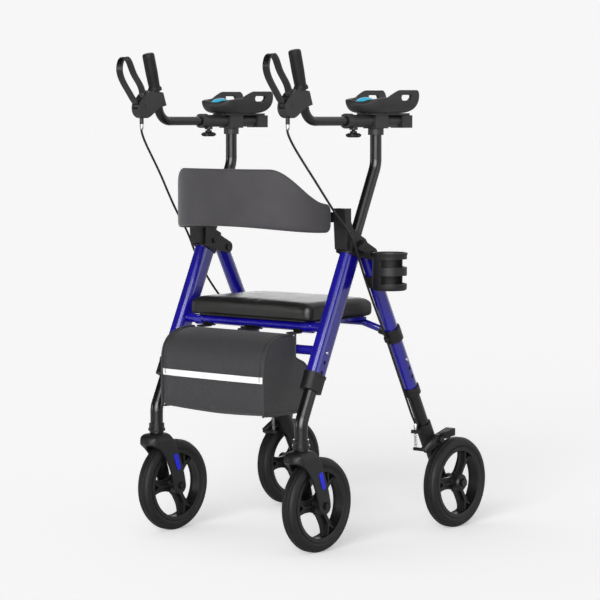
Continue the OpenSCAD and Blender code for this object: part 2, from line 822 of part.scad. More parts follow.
module rear_lower_leg() {
    top_t = 235;
    bore_d = lower_leg_d - 3.6;
    boss_d = 33;
    boss_x = [side_x - 15, rear_wheel_x - wheel_w / 2 - 3];
    axle_x1 = rear_wheel_x + wheel_w / 2 + 6.5;
    nut_h = 5;
    nut_d = 20;
    color(satin_black) difference() {
        union() {
            on_rear_leg(top_t) cylinder(d = lower_leg_d, h = rear_len - top_t);
            bar_x(boss_x[0], boss_x[1], boss_d, rear_axle_y, wheel_r);
            bar_x(side_x, axle_x1, axle_d, rear_axle_y, wheel_r);
            translate([axle_x1, rear_axle_y, wheel_r])
                rotate([0, 90, 0]) cylinder(d = nut_d, h = nut_h, $fn = 6);
        }
        on_rear_leg(top_t - past) cylinder(d = bore_d, h = rear_len - top_t - 40);
        on_rear_leg(rear_button_t) rotate([0, 90, 0]) cylinder(d = button_d + 2 * run_gap, h = lower_leg_d);
    }
}

module rear_leg_button() {
    color(steel_grey) on_rear_leg(rear_button_t) spring_button(rear_tube_d / 2);
}

module brake_housing() {
    low_t = 438;
    height = 62;
    wall = 4;
    stop_w = 14;
    stop_h = 8;
    stop_bore = 4;
    pin_x1 = 252;
    color(moulded_black) difference() {
        union() {
            on_rear_leg(low_t) cylinder(d = lower_leg_d + 2 * wall, h = height);
            translate([side_x - stop_w / 2, cable_stop_y - 7, cable_stop_z - stop_h + 4.5])
                cube([stop_w, rear_y(cable_stop_z) - cable_stop_y, stop_h]);
            bar_x(side_x, 229.5, 20, brake_y, brake_z);
            bar_x(side_x, pin_x1, pin_d, brake_y, brake_z);
            bar_x(244, pin_x1, 14, brake_y, brake_z);
        }
        on_rear_leg(low_t - past) cylinder(d = lower_leg_d + 2 * seat_gap, h = height + 2 * past);
        translate([side_x, cable_stop_y, cable_stop_z - 10]) cylinder(d = stop_bore, h = 20);
    }
}

// Lever that the cable lifts at its front, so that its shoe comes down on the tyre
module brake_arm() {
    arm_x = [230.5, 243.5];
    shoe_x1 = 263;
    eye = [124, 183];
    shoe_gap = 5;
    hub_d = 22;
    color(moulded_black) difference() {
        union() {
            side_plate(arm_x[0], arm_x[1]) {
                translate([brake_y, brake_z]) circle(d = hub_d);
                polygon([
                    [brake_y - 4, brake_z + 10], [eye.x - 6, eye.y + 6],
                    [eye.x + 4, eye.y - 7], [brake_y + 5, brake_z - 9]
                ]);
            }
            side_plate(arm_x[0], shoe_x1) difference() {
                polygon([
                    [brake_y + 1, brake_z + 11], [208, 225], [263, 217], [264, 196], [brake_y + 10, brake_z + 1]
                ]);
                translate([rear_axle_y, wheel_r]) circle(r = wheel_r + shoe_gap, $fn = 96);
                translate([brake_y, brake_z]) circle(d = hub_d - 2);
            }
            bar_x(side_x - 6, arm_x[1], pin_d, eye.x, eye.y);
        }
        bar_x(arm_x[0] - past, shoe_x1 + past, pin_d + 2 * run_gap, brake_y, brake_z);
        bar_x(arm_x[1], shoe_x1 + past, 16, brake_y, brake_z);
    }
}

// Seat

rail_x = [146, 168];
rail_low_z = 478.5;
pan_low_z = 484.5;

module seat_frame() {
    rail_y1 = 0;
    ring_d = hinge_d + 7;
    tube_y = front_y(hinge_z);
    open_z = hinge_z + hinge_d / 2 - 2;
    color(paint_blue) both_sides() difference() {
        union() {
            translate([rail_x[0], tube_y, rail_low_z])
                cube([rail_x[1] - rail_x[0], rail_y1 - tube_y, pan_low_z - rail_low_z]);
            bar_x(rail_x[0], rail_x[1], ring_d, tube_y, hinge_z);
        }
        bar_x(rail_x[0] - past, rail_x[1] + past, hinge_d + 2 * run_gap, tube_y, hinge_z);
        translate([rail_x[0] - past, tube_y - ring_d, open_z]) cube([40, ring_d + 8, ring_d]);
    }
}

module seat_pan() {
    margin = 9;
    corner = 20;
    front = -87 - seat_depth / 2 + margin;
    rest_h = 3.8;
    w = seat_w - 2 * margin;
    d = seat_depth - 2 * margin;
    color(satin_black) {
        translate([-w / 2 + corner, front, pan_low_z]) cube([w - 2 * corner, d, seat_z - pan_low_z]);
        translate([-w / 2, front + corner, pan_low_z]) cube([w, d - 2 * corner, seat_z - pan_low_z]);
        for (x = [-1, 1], y = [front + corner, front + d - corner])
            translate([x * (w / 2 - corner), y, pan_low_z]) cylinder(r = corner, h = seat_z - pan_low_z);
        for (x = [-1, 1]) translate([x * 90 - 20, stretcher_y - 6, pan_low_z - rest_h])
            cube([40, 12, rest_h]);
    }
}

// Crowned cushion whose sides draw in a little between the corners
module seat_cushion() {
    around = 64;
    crown = 7;
    draw_in = 4;
    squareness = 6;
    mid_y = -87;
    // Share of the plan size and of the edge height on each ring, from the underside up
    rings = [
        [0.90, 0], [0.965, 0.03], [0.99, 0.16], [1, 0.42], [0.997, 0.66], [0.975, 0.86], [0.93, 0.98],
        [0.82, 1.05], [0.62, 1.11], [0.36, 1.15]
    ];
    m = len(rings);
    edge = [
        for (k = [0 : around - 1])
            let (a = 360 * k / around,
                 r = pow(pow(abs(cos(a)), squareness) + pow(abs(sin(a)), squareness), -1 / squareness),
                 pull = pow(abs(cos(2 * a)), 2))
                [(seat_w / 2 - draw_in * pull) * r * cos(a), (seat_depth / 2 - draw_in * pull) * r * sin(a)]
    ];
    pts = concat(
        [for (g = rings, k = [0 : around - 1])
            [edge[k].x * g[0], mid_y + edge[k].y * g[0], seat_z + seat_h * min(g[1], 1) + crown * max(g[1] - 1, 0) / 0.15]],
        [[0, mid_y, seat_z], [0, mid_y, seat_z + seat_h + crown]]
    );
    low = m * around;
    walls = [
        for (i = [0 : m - 2], k = [0 : around - 1])
            let (a = i * around + k, b = i * around + (k + 1) % around)
                each [[a, a + around, b], [b, a + around, b + around]]
    ];
    under = [for (k = [0 : around - 1]) [low, k, (k + 1) % around]];
    upper = [for (k = [0 : around - 1]) [low + 1, (m - 1) * around + (k + 1) % around, (m - 1) * around + k]];
    color(vinyl_black) polyhedron(pts, concat(walls, under, upper));
}

// Arms

module upright() {
    low_s = 300;
    bend_r = 60;
    wall = 1.8;
    reach = bend_r * tan(front_lean / 2);
    bend_s = front_s(bend_z);
    top_z = sleeve_z - 15;
    hole_d = 7;
    holes = 6;
    first_hole_s = 440;
    color(satin_black) difference() {
        union() {
            on_front_leg(low_s) cylinder(d = upright_d, h = bend_s - reach - low_s);
            translate([side_x, front_y(bend_z) - bend_r, bend_z + reach])
                rotate([-front_lean, 0, 0]) bend(bend_r, upright_d, front_lean);
            translate([side_x, front_y(bend_z), bend_z + reach])
                cylinder(d = upright_d, h = top_z - bend_z - reach);
        }
        on_front_leg(low_s - past) cylinder(d = upright_d - 2 * wall, h = bend_s - reach - low_s - 10);
        for (i = [0 : holes - 1]) on_front_leg(first_hole_s + i * hole_pitch)
            rotate([-90, 0, 0]) cylinder(d = hole_d, h = upright_d);
    }
}

pad_low_z = 929;

module arm_support() {
    y0 = -126;
    y1 = 84;
    sleeve_d = 27;
    ring_d = 32;
    ring_l = 18;
    post_y = front_y(bend_z);
    block = [36, 42];
    block_low = 882;
    socket_top = sleeve_z - 15;
    rear_l = 34;
    rear_w = 34;
    plate = [44, 128, 4.5];
    plate_y0 = -60;
    boss_d = 18;
    boss_z = 893;
    color(moulded_black) difference() {
        union() {
            bar_y(y0, y1, sleeve_d, side_x, sleeve_z);
            bar_y(y0, y0 + ring_l, ring_d, side_x, sleeve_z);
            translate([side_x - block.x / 2, post_y - block.y / 2, sleeve_z - 16])
                cube([block.x, block.y, pad_low_z - plate.z - sleeve_z + 16]);
            translate([side_x, post_y, block_low]) cylinder(d = upright_d + 9, h = sleeve_z - block_low);
            translate([side_x - rear_w / 2, y1 - rear_l, sleeve_z - 15])
                cube([rear_w, rear_l, pad_low_z - plate.z - sleeve_z + 15]);
            translate([side_x - plate.x / 2, plate_y0, pad_low_z - plate.z]) cube(plate);
            translate([side_x, sleeve_knob_y, boss_z]) cylinder(d = boss_d, h = sleeve_z - boss_z);
        }
        bar_y(y0 - past, y1 - 6, handle_d + 2 * slide_gap, side_x, sleeve_z);
        translate([side_x, post_y, block_low - past])
            cylinder(d = upright_d + 2 * run_gap, h = socket_top - block_low + past);
        translate([side_x, sleeve_knob_y, boss_z - past])
            cylinder(d = pin_d + 2 * run_gap, h = sleeve_z - boss_z);
    }
}

module forearm_pad() {
    y0 = -117;
    y1 = 64;
    low = pad_low_z;
    trough_r = 75;
    trough_z = 950;
    nose_r = pad_w / 2;
    rear_r = 26;
    slot = [34, 11];
    slot_y = 22;
    slot_z = 963;
    outline = concat(
        curve([y0, 950], [y0 + 2, low], [y0 + 36, low], 8),
        curve([y1 - 34, low], [y1 - 4, low + 2], [y1, 966], 8),
        [[y1 - 1, 974], [y1 - 5, 979]],
        curve([-2, 978], [-12, 977], [-26, 967], 5),
        [[-86, 963]],
        curve([-98, 962], [y0 + 2, 960], [y0, 950], 5)
    );
    color(moulded_black) translate([side_x, 0, 0]) difference() {
        intersection() {
            side_plate(-pad_w / 2, pad_w / 2) polygon(outline);
            translate([0, 0, low - past]) linear_extrude(80) {
                translate([0, y0 + nose_r]) circle(r = nose_r);
                translate([-pad_w / 2, y0 + nose_r]) square([pad_w, y1 - y0 - nose_r - rear_r]);
                translate([-pad_w / 2 + rear_r, y0 + nose_r]) square([pad_w - 2 * rear_r, y1 - y0 - nose_r]);
                for (s = [-1, 1]) translate([s * (pad_w / 2 - rear_r), y1 - rear_r]) circle(r = rear_r);
            }
        }
        bar_y(y0 - past, y1 + past, 2 * trough_r, 0, trough_z + trough_r);
        side_plate(-pad_w, pad_w) translate([slot_y, slot_z]) rotate(90) stadium(slot.y, slot.x);
    }
}

module handle_tube() {
    bend_r = 35;
    turn = 90 - handle_lean;
    reach = bend_r * tan(turn / 2);
    rear_end_y = 20;
    top_s = 146;
    color(satin_black) {
        bar_y(handle_bend_y + reach, rear_end_y, handle_d, side_x, sleeve_z);
        translate([side_x, handle_bend_y + reach, sleeve_z + bend_r])
            rotate([270 - turn, 0, 0]) bend(bend_r, handle_d, turn);
        on_handle(reach) cylinder(d = handle_d, h = top_s - reach);
    }
}

module grip() {
    low_s = 68;
    top_s = 152;
    bore_s = 146.3;
    flange = 2;
    color(rubber_black) on_handle(0) difference() {
        rotate_extrude() polygon(concat(
            [[0, low_s], [grip_d / 2 + flange, low_s], [grip_d / 2 + flange, low_s + 5],
             [grip_d / 2 - 1, low_s + 10], [grip_d / 2, low_s + 40]],
            curve([grip_d / 2, top_s - 6], [grip_d / 2, top_s], [grip_d / 2 - 5, top_s], 4),
            [[0, top_s]]
        ));
        translate([0, 0, low_s - past]) cylinder(d = handle_d + 2 * seat_gap, h = bore_s - low_s + past);
    }
}

// Housing that clamps to the handle and holds the lever between its cheeks
module lever_housing() {
    half = 12;
    slot_half = lever_w / 2 + 0.5;
    round_c = [-309, 940];
    round_r = 22;
    hub_clear = 18;
    ferrule_d = 9;
    ferrule_z = 905;
    color(moulded_black) difference() {
        union() {
            side_plate(side_x - half, side_x + half) {
                translate(round_c) circle(r = round_r);
                polygon([[-324, 956], [-310, 970], [-288, 979], [-256, 974], [-246, 946], [-266, 941], [-297, 921]]);
            }
            translate([side_x, -312, ferrule_z]) cylinder(d = ferrule_d, h = 16);
        }
        on_handle(0) cylinder(d = handle_d + 2 * seat_gap, h = 120);
        on_handle(67.7) cylinder(d = grip_d + 8, h = 30);
        side_plate(side_x - slot_half, side_x + slot_half) {
            translate([lever_y, lever_z]) circle(r = hub_clear);
            polygon([[-345, 935], [-345, 995], [-297, 995], [-297, 950], [lever_y, lever_z - 5]]);
        }
        bar_x(side_x - 2 * half, side_x + 2 * half, 6 + 2 * run_gap, lever_y, lever_z);
    }
}

// Closed strap loop on a round hub, with its own pin
module brake_lever() {
    steps = 4;
    strap = 4.6;
    hub_r = 16.5;
    pin_half = 11.5;
    line = smooth_loop([
        [-333, 953], [-349, 972], [-371, 1000], [-379, 1022], [-374, 1042], [-361, 1048.5],
        [-350, 1040], [-336, 1014], [-316, 989], [-309.5, 972], [-313, 955], [-322, 946]
    ], steps);
    color(satin_black) {
        side_plate(side_x - lever_w / 2, side_x + lever_w / 2) {
            difference() {
                polygon(offset_loop(line, -strap / 2));
                polygon(offset_loop(line, strap / 2));
            }
            translate([lever_y, lever_z]) circle(r = hub_r);
        }
        bar_x(side_x - pin_half, side_x + pin_half, 6, lever_y, lever_z);
    }
}

// Wing knob under the sleeve
module sleeve_knob() {
    low_z = 877;
    top_z = 887;
    cap_r = 17;
    stem_top_z = sleeve_z - handle_d / 2 - slide_gap;
    scallops = 6;
    color(rubber_black) translate([side_x, sleeve_knob_y, 0]) {
        difference() {
            rotate_extrude() polygon(concat(
                [[0, low_z], [cap_r - 6, low_z]],
                curve([cap_r - 3, low_z + 1], [cap_r, low_z + 3], [cap_r, top_z - 4], 4),
                [[cap_r - 4, top_z - 1], [8, top_z], [7, top_z + 4], [0, top_z + 4]]
            ));
            for (i = [0 : scallops - 1]) rotate([0, 0, 360 * i / scallops])
                translate([cap_r + 2, 0, low_z - past]) cylinder(r = 4.5, h = top_z - low_z);
        }
        translate([0, 0, low_z + 2]) cylinder(d = pin_d, h = stem_top_z - low_z - 2);
    }
}

// Three-lobed knob that clamps the upright in the leg
module clamp_knob() {
    tip_x = upright_d / 2 + slide_gap + 0.1;
    inner_x = 24.2;
    outer_x = 34;
    lobe_r = 6.5;
    reach = 10;
    lobes = 3;
    color(rubber_black) on_front_leg(knob_s) rotate([0, 90, 0]) {
        translate([0, 0, tip_x]) cylinder(d = pin_d, h = outer_x - tip_x - 1);
        translate([0, 0, inner_x]) linear_extrude(outer_x - inner_x) {
            circle(r = 9.5);
            for (i = [0 : lobes - 1]) rotate(60 + 360 * i / lobes) {
                translate([reach, 0]) circle(r = lobe_r);
                translate([0, -lobe_r + 1.5]) square([reach, 2 * lobe_r - 3]);
            }
        }
    }
}

front_leg_tubes();
front_cross_tubes();
front_leg_collars();
hinge_brackets();
frame_bolts();
backrest_bar();
backrest_pad();
bag();
bag_hooks();
brake_cables();
front_lower_leg();  // front_lower_leg_left
right_side() front_lower_leg();  // front_lower_leg_right
front_leg_button();  // front_leg_button_left
right_side() front_leg_button();  // front_leg_button_right
caster_fork();  // caster_fork_left
right_side() caster_fork();  // caster_fork_right
front_axle();  // front_axle_left
right_side() front_axle();  // front_axle_right
front_rim();  // front_rim_left
right_side() front_rim();  // front_rim_right
front_tyre();  // front_tyre_left
right_side() front_tyre();  // front_tyre_right
rear_leg_tubes();
rear_stretcher();
rear_collars();
cup_clamp();
cup_holder();
rear_lower_leg();  // rear_lower_leg_left
right_side() rear_lower_leg();  // rear_lower_leg_right
rear_leg_button();  // rear_leg_button_left
right_side() rear_leg_button();  // rear_leg_button_right
brake_housing();  // brake_housing_left
right_side() brake_housing();  // brake_housing_right
brake_arm();  // brake_arm_left
right_side() brake_arm();  // brake_arm_right
rear_rim();  // rear_rim_left
right_side() rear_rim();  // rear_rim_right
rear_tyre();  // rear_tyre_left
right_side() rear_tyre();  // rear_tyre_right
seat_frame();
seat_pan();
seat_cushion();
upright();  // upright_left
right_side() upright();  // upright_right
arm_support();  // arm_support_left
right_side() arm_support();  // arm_support_right
forearm_pad();  // forearm_pad_left
right_side() forearm_pad();  // forearm_pad_right
handle_tube();  // handle_tube_left
right_side() handle_tube();  // handle_tube_right
grip();  // grip_left
right_side() grip();  // grip_right
lever_housing();  // lever_housing_left
right_side() lever_housing();  // lever_housing_right
brake_lever();  // brake_lever_left
right_side() brake_lever();  // brake_lever_right
sleeve_knob();  // sleeve_knob_left
right_side() sleeve_knob();  // sleeve_knob_right
clamp_knob();  // clamp_knob_left
right_side() clamp_knob();  // clamp_knob_right
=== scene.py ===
from math import atan2, copysign, cos, pi, radians, sin, sqrt

import bmesh
import bpy
from mathutils import Matrix, Vector
from mathutils.bvhtree import BVHTree


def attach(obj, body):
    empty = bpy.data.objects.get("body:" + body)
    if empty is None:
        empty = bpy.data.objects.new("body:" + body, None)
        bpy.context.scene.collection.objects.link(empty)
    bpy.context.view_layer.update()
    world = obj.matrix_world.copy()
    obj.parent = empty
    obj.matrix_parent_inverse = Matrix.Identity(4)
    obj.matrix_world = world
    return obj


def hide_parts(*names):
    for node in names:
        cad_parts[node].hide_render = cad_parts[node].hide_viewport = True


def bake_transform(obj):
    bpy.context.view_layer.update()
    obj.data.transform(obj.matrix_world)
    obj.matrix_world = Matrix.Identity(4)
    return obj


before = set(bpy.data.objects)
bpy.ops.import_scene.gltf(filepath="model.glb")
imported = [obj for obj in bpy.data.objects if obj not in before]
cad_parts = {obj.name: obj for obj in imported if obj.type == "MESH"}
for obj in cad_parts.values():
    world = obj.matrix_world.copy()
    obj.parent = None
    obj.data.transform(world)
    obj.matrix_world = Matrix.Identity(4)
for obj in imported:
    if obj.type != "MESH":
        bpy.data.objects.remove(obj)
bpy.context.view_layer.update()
scene = bpy.context.scene
scene.view_settings.view_transform = "Standard"

MM = 0.001
SIDES = (("left", 1), ("right", -1))

# Places of the solids that the sewn and fitted pieces below sit on, in millimetres
SIDE_X = 211
FRONT_AXLE_Y = -218.75
STEM_Y = -269.75
WHEEL_R = 101.5
BOW_HALF_W = 199
BOW_REACH = 150
BOW_END_Y = -147.8
BOW_ROUNDNESS = 2.45
BACK_T = 11
BAG_HALF_W = 150
CROSSBAR = (-202.1, 427)  # Y and Z
CROSSBAR_R = 10
SEAT_Z = 488
SEAT_MID_Y = -87
SEAT_HALF = (168, 119)
SEAT_FRONT_HALF_W = 179


# Camera, at the photograph's viewing angle

CAMERA_AT, CAMERA_TARGET = (3.3453, -3.91735, 0.9196), (0.2898, -0.36475, 0.5493)
LENS_MM, SENSOR_MM = 138.6, 36


def aim(obj, place, target):
    """Puts an object at a place, with its -Z axis on a target and its Y axis up."""
    obj.location = place
    turn = (Vector(target) - Vector(place)).to_track_quat("-Z", "Y")
    obj.rotation_mode = "QUATERNION"
    obj.rotation_quaternion = turn


lens = bpy.data.cameras.new("camera")
lens.lens = LENS_MM
lens.sensor_width = SENSOR_MM
lens.clip_end = 200
camera = bpy.data.objects.new("camera", lens)
scene.collection.objects.link(camera)
aim(camera, CAMERA_AT, CAMERA_TARGET)
scene.camera = camera


# Materials

def srgb(text):
    """An sRGB hex colour as linear RGBA."""
    parts = [int(text[i:i + 2], 16) / 255 for i in (1, 3, 5)]
    linear = [c / 12.92 if c <= 0.04045 else ((c + 0.055) / 1.055) ** 2.4 for c in parts]
    return (*linear, 1.0)


def add(tree, kind, inputs=(), **settings):
    """Adds a node with its settings, and sets or links its inputs by name or number."""
    made = tree.nodes.new(kind)
    for name, value in settings.items():
        setattr(made, name, value)
    for name, value in dict(inputs).items():
        if isinstance(value, bpy.types.NodeSocket):
            tree.links.new(value, made.inputs[name])
        else:
            made.inputs[name].default_value = value
    return made


def blank(name):
    """A new material, with its node tree, shader and object coordinates."""
    mat = bpy.data.materials.new(name)
    mat.use_nodes = True
    tree = mat.node_tree
    shader = tree.nodes["Principled BSDF"]
    coords = add(tree, "ShaderNodeTexCoord").outputs["Object"]
    return mat, tree, shader, coords


def per_metre(mm):
    """Texture scale at which one pattern cell is that many millimetres."""
    return 1000 / mm


def mottle(tree, coords, size_mm, dark, light, low=0.35, high=0.65):
    """Soft patches between two colours, with cells of that size."""
    noise = add(tree, "ShaderNodeTexNoise", {"Vector": coords, "Scale": per_metre(size_mm),
                                             "Detail": 3.0})
    ramp = add(tree, "ShaderNodeValToRGB", {"Fac": noise.outputs["Fac"]})
    ramp.color_ramp.elements[0].position = low
    ramp.color_ramp.elements[0].color = srgb(dark)
    ramp.color_ramp.elements[1].position = high
    ramp.color_ramp.elements[1].color = srgb(light)
    return ramp.outputs["Color"]


def powder_coat(name, dark, light, roughness, coat):
    # Polyester powder coat on tube, sprayed and baked: a deep even colour under a
    # glossy skin, with a faint orange peel that softens the edges of the reflections.
    mat, tree, shader, coords = blank(name)
    peel = add(tree, "ShaderNodeTexNoise", {"Vector": coords, "Scale": per_metre(2.5),
                                            "Detail": 1.0})
    patches = add(tree, "ShaderNodeTexNoise", {"Vector": coords, "Scale": per_metre(60),
                                               "Detail": 2.0})
    gloss = add(tree, "ShaderNodeMapRange", {"Value": patches.outputs["Fac"],
                                             "To Min": roughness - 0.05,
                                             "To Max": roughness + 0.05})
    edge = add(tree, "ShaderNodeBevel", {"Radius": 0.8 * MM}, samples=4)
    skin = add(tree, "ShaderNodeBump", {"Height": peel.outputs["Fac"], "Strength": 0.4,
                                        "Distance": 0.02 * MM,
                                        "Normal": edge.outputs["Normal"]})
    tree.links.new(mottle(tree, coords, 90, dark, light), shader.inputs["Base Color"])
    tree.links.new(gloss.outputs["Result"], shader.inputs["Roughness"])
    tree.links.new(skin.outputs["Normal"], shader.inputs["Normal"])
    shader.inputs["IOR"].default_value = 1.5
    shader.inputs["Coat Weight"].default_value = coat
    shader.inputs["Coat Roughness"].default_value = 0.04
    return mat


def moulded_plastic(name, dark, light, roughness, grain_mm, depth_mm, edge_mm=1.2):
    # Injection-moulded plastic from a spark-eroded mould: a satin surface with a fine
    # pebbled grain and edges that the mould leaves round. The real grain is about 0.3 mm
    # and is drawn coarser, so that it shows.
    mat, tree, shader, coords = blank(name)
    grain = add(tree, "ShaderNodeTexVoronoi", {"Vector": coords, "Scale": per_metre(grain_mm)})
    flow = add(tree, "ShaderNodeTexNoise", {"Vector": coords, "Scale": per_metre(45),
                                            "Detail": 3.0})
    gloss = add(tree, "ShaderNodeMapRange", {"Value": flow.outputs["Fac"],
                                             "To Min": roughness - 0.08,
                                             "To Max": roughness + 0.08})
    edge = add(tree, "ShaderNodeBevel", {"Radius": edge_mm * MM}, samples=6)
    skin = add(tree, "ShaderNodeBump", {"Height": grain.outputs["Distance"], "Strength": 0.5,
                                        "Distance": depth_mm * MM,
                                        "Normal": edge.outputs["Normal"]})
    tree.links.new(mottle(tree, coords, 70, dark, light), shader.inputs["Base Color"])
    tree.links.new(gloss.outputs["Result"], shader.inputs["Roughness"])
    tree.links.new(skin.outputs["Normal"], shader.inputs["Normal"])
    shader.inputs["IOR"].default_value = 1.43
    return mat


def vulcanised_rubber(name, dark, light, roughness):
    # Moulded rubber: matt and slightly dusty, a shade lighter where it is handled or
    # rolls, with a very fine skin.
    mat, tree, shader, coords = blank(name)
    dust = add(tree, "ShaderNodeTexNoise", {"Vector": coords, "Scale": per_metre(18), "Detail": 5.0,
                                            "Roughness": 0.65})
    gloss = add(tree, "ShaderNodeMapRange", {"Value": dust.outputs["Fac"],
                                             "To Min": roughness - 0.1,
                                             "To Max": roughness + 0.1})
    fine = add(tree, "ShaderNodeTexNoise", {"Vector": coords, "Scale": per_metre(1.6),
                                            "Detail": 2.0})
    skin = add(tree, "ShaderNodeBump", {"Height": fine.outputs["Fac"], "Strength": 0.4,
                                        "Distance": 0.05 * MM})
    tree.links.new(mottle(tree, coords, 30, dark, light, 0.3, 0.75), shader.inputs["Base Color"])
    tree.links.new(gloss.outputs["Result"], shader.inputs["Roughness"])
    tree.links.new(skin.outputs["Normal"], shader.inputs["Normal"])
    shader.inputs["IOR"].default_value = 1.4
    return mat


def plated_steel(name, dark, light, roughness):
    # Zinc-plated or black-oxide steel, turned or stamped: a clear metal gleam with
    # faint drawing marks.
    mat, tree, shader, coords = blank(name)
    marks = add(tree, "ShaderNodeTexNoise", {"Vector": coords, "Scale": per_metre(3),
                                             "Detail": 4.0})
    gloss = add(tree, "ShaderNodeMapRange", {"Value": marks.outputs["Fac"],
                                             "To Min": roughness - 0.08,
                                             "To Max": roughness + 0.12})
    tree.links.new(mottle(tree, coords, 8, dark, light), shader.inputs["Base Color"])
    tree.links.new(gloss.outputs["Result"], shader.inputs["Roughness"])
    shader.inputs["Metallic"].default_value = 1.0
    return mat


def knitted_cover(name, dark, light, stitch_mm):
    # Knitted nylon laminated on foam: matt, with rows of tiny stitches and a soft
    # sheen at grazing angles. The real stitches are about 0.7 mm and are drawn coarser.
    mat, tree, shader, coords = blank(name)
    parts = add(tree, "ShaderNodeSeparateXYZ", {"Vector": coords})
    ribs = add(tree, "ShaderNodeMath", {0: parts.outputs["Z"], 1: 2 * pi * per_metre(stitch_mm)},
               operation="MULTIPLY")
    wave = add(tree, "ShaderNodeMath", {0: ribs.outputs[0]}, operation="SINE")
    fuzz = add(tree, "ShaderNodeTexNoise", {"Vector": coords, "Scale": per_metre(stitch_mm),
                                            "Detail": 2.0})
    height = add(tree, "ShaderNodeMath", {0: wave.outputs[0], 1: 0.35, 2: fuzz.outputs["Fac"]},
                 operation="MULTIPLY_ADD")
    knit = add(tree, "ShaderNodeBump", {"Height": height.outputs[0], "Strength": 0.35,
                                        "Distance": 0.25 * MM})
    tree.links.new(mottle(tree, coords, 55, dark, light), shader.inputs["Base Color"])
    tree.links.new(knit.outputs["Normal"], shader.inputs["Normal"])
    shader.inputs["Roughness"].default_value = 0.72
    shader.inputs["Sheen Weight"].default_value = 0.25
    shader.inputs["Sheen Roughness"].default_value = 0.4
    return mat


def woven_polyester(name, dark, light, thread_mm):
    # Coarse woven polyester, coated on the inside: a basket weave of shiny threads with
    # dark gaps. The real threads are about 0.8 mm apart and are drawn coarser.
    mat, tree, shader, coords = blank(name)
    parts = add(tree, "ShaderNodeSeparateXYZ", {"Vector": coords})
    turns = 2 * pi * per_metre(thread_mm)
    across = add(tree, "ShaderNodeMath", {0: parts.outputs["Y"], 1: 0.5, 2: parts.outputs["X"]},
                 operation="MULTIPLY_ADD")
    along = add(tree, "ShaderNodeMath", {0: parts.outputs["Z"], 1: parts.outputs["Y"]},
                operation="ADD")
    warp_at = add(tree, "ShaderNodeMath", {0: across.outputs[0], 1: turns}, operation="MULTIPLY")
    weft_at = add(tree, "ShaderNodeMath", {0: along.outputs[0], 1: turns}, operation="MULTIPLY")
    warp = add(tree, "ShaderNodeMath", {0: warp_at.outputs[0]}, operation="SINE")
    weft = add(tree, "ShaderNodeMath", {0: weft_at.outputs[0]}, operation="SINE")
    weave = add(tree, "ShaderNodeMath", {0: warp.outputs[0], 1: weft.outputs[0]},
                operation="MULTIPLY")
    slub = add(tree, "ShaderNodeTexNoise", {"Vector": coords, "Scale": per_metre(12),
                                            "Detail": 4.0})
    uneven = add(tree, "ShaderNodeMapRange", {"Value": slub.outputs["Fac"], "To Min": 0.4,
                                              "To Max": 0.6})
    shade = add(tree, "ShaderNodeMath", {0: weave.outputs[0], 1: 0.3, 2: uneven.outputs["Result"]},
                operation="MULTIPLY_ADD")
    ramp = add(tree, "ShaderNodeValToRGB", {"Fac": shade.outputs[0]})
    ramp.color_ramp.elements[0].position = 0.2
    ramp.color_ramp.elements[0].color = srgb(dark)
    ramp.color_ramp.elements[1].position = 0.85
    ramp.color_ramp.elements[1].color = srgb(light)
    gloss = add(tree, "ShaderNodeMapRange", {"Value": weave.outputs[0], "To Min": 0.62,
                                             "To Max": 0.5})
    cloth = add(tree, "ShaderNodeBump", {"Height": weave.outputs[0], "Strength": 0.5,
                                         "Distance": 0.35 * MM})
    tree.links.new(ramp.outputs["Color"], shader.inputs["Base Color"])
    tree.links.new(gloss.outputs["Result"], shader.inputs["Roughness"])
    tree.links.new(cloth.outputs["Normal"], shader.inputs["Normal"])
    shader.inputs["Sheen Weight"].default_value = 0.1
    return mat


def grained_vinyl(name, dark, light):
    # PVC leathercloth, embossed with a fine leather grain: smooth and a little greasy,
    # with soft broad highlights over the foam.
    mat, tree, shader, coords = blank(name)
    grain = add(tree, "ShaderNodeTexVoronoi", {"Vector": coords, "Scale": per_metre(2.4)},
                feature="SMOOTH_F1")
    worn = add(tree, "ShaderNodeTexNoise", {"Vector": coords, "Scale": per_metre(50),
                                            "Detail": 3.0})
    gloss = add(tree, "ShaderNodeMapRange", {"Value": worn.outputs["Fac"], "To Min": 0.36,
                                             "To Max": 0.52})
    hide = add(tree, "ShaderNodeBump", {"Height": grain.outputs["Distance"], "Strength": 0.45,
                                        "Distance": 0.12 * MM})
    tree.links.new(mottle(tree, coords, 80, dark, light), shader.inputs["Base Color"])
    tree.links.new(gloss.outputs["Result"], shader.inputs["Roughness"])
    tree.links.new(hide.outputs["Normal"], shader.inputs["Normal"])
    shader.inputs["IOR"].default_value = 1.52
    return mat


def glass_bead_tape(name):
    # Reflective tape: fine glass beads on a white woven carrier, bright and matt, with a
    # faint honeycomb of the embossing roll, about 3 mm across.
    mat, tree, shader, coords = blank(name)
    cells = add(tree, "ShaderNodeTexVoronoi", {"Vector": coords, "Scale": per_metre(3.0)},
                feature="DISTANCE_TO_EDGE")
    beads = add(tree, "ShaderNodeBump", {"Height": cells.outputs["Distance"], "Strength": 0.3,
                                         "Distance": 0.1 * MM})
    tree.links.new(mottle(tree, coords, 40, "#e6e6e8", "#f8f8f8"), shader.inputs["Base Color"])
    tree.links.new(beads.outputs["Normal"], shader.inputs["Normal"])
    shader.inputs["Roughness"].default_value = 0.45
    return mat


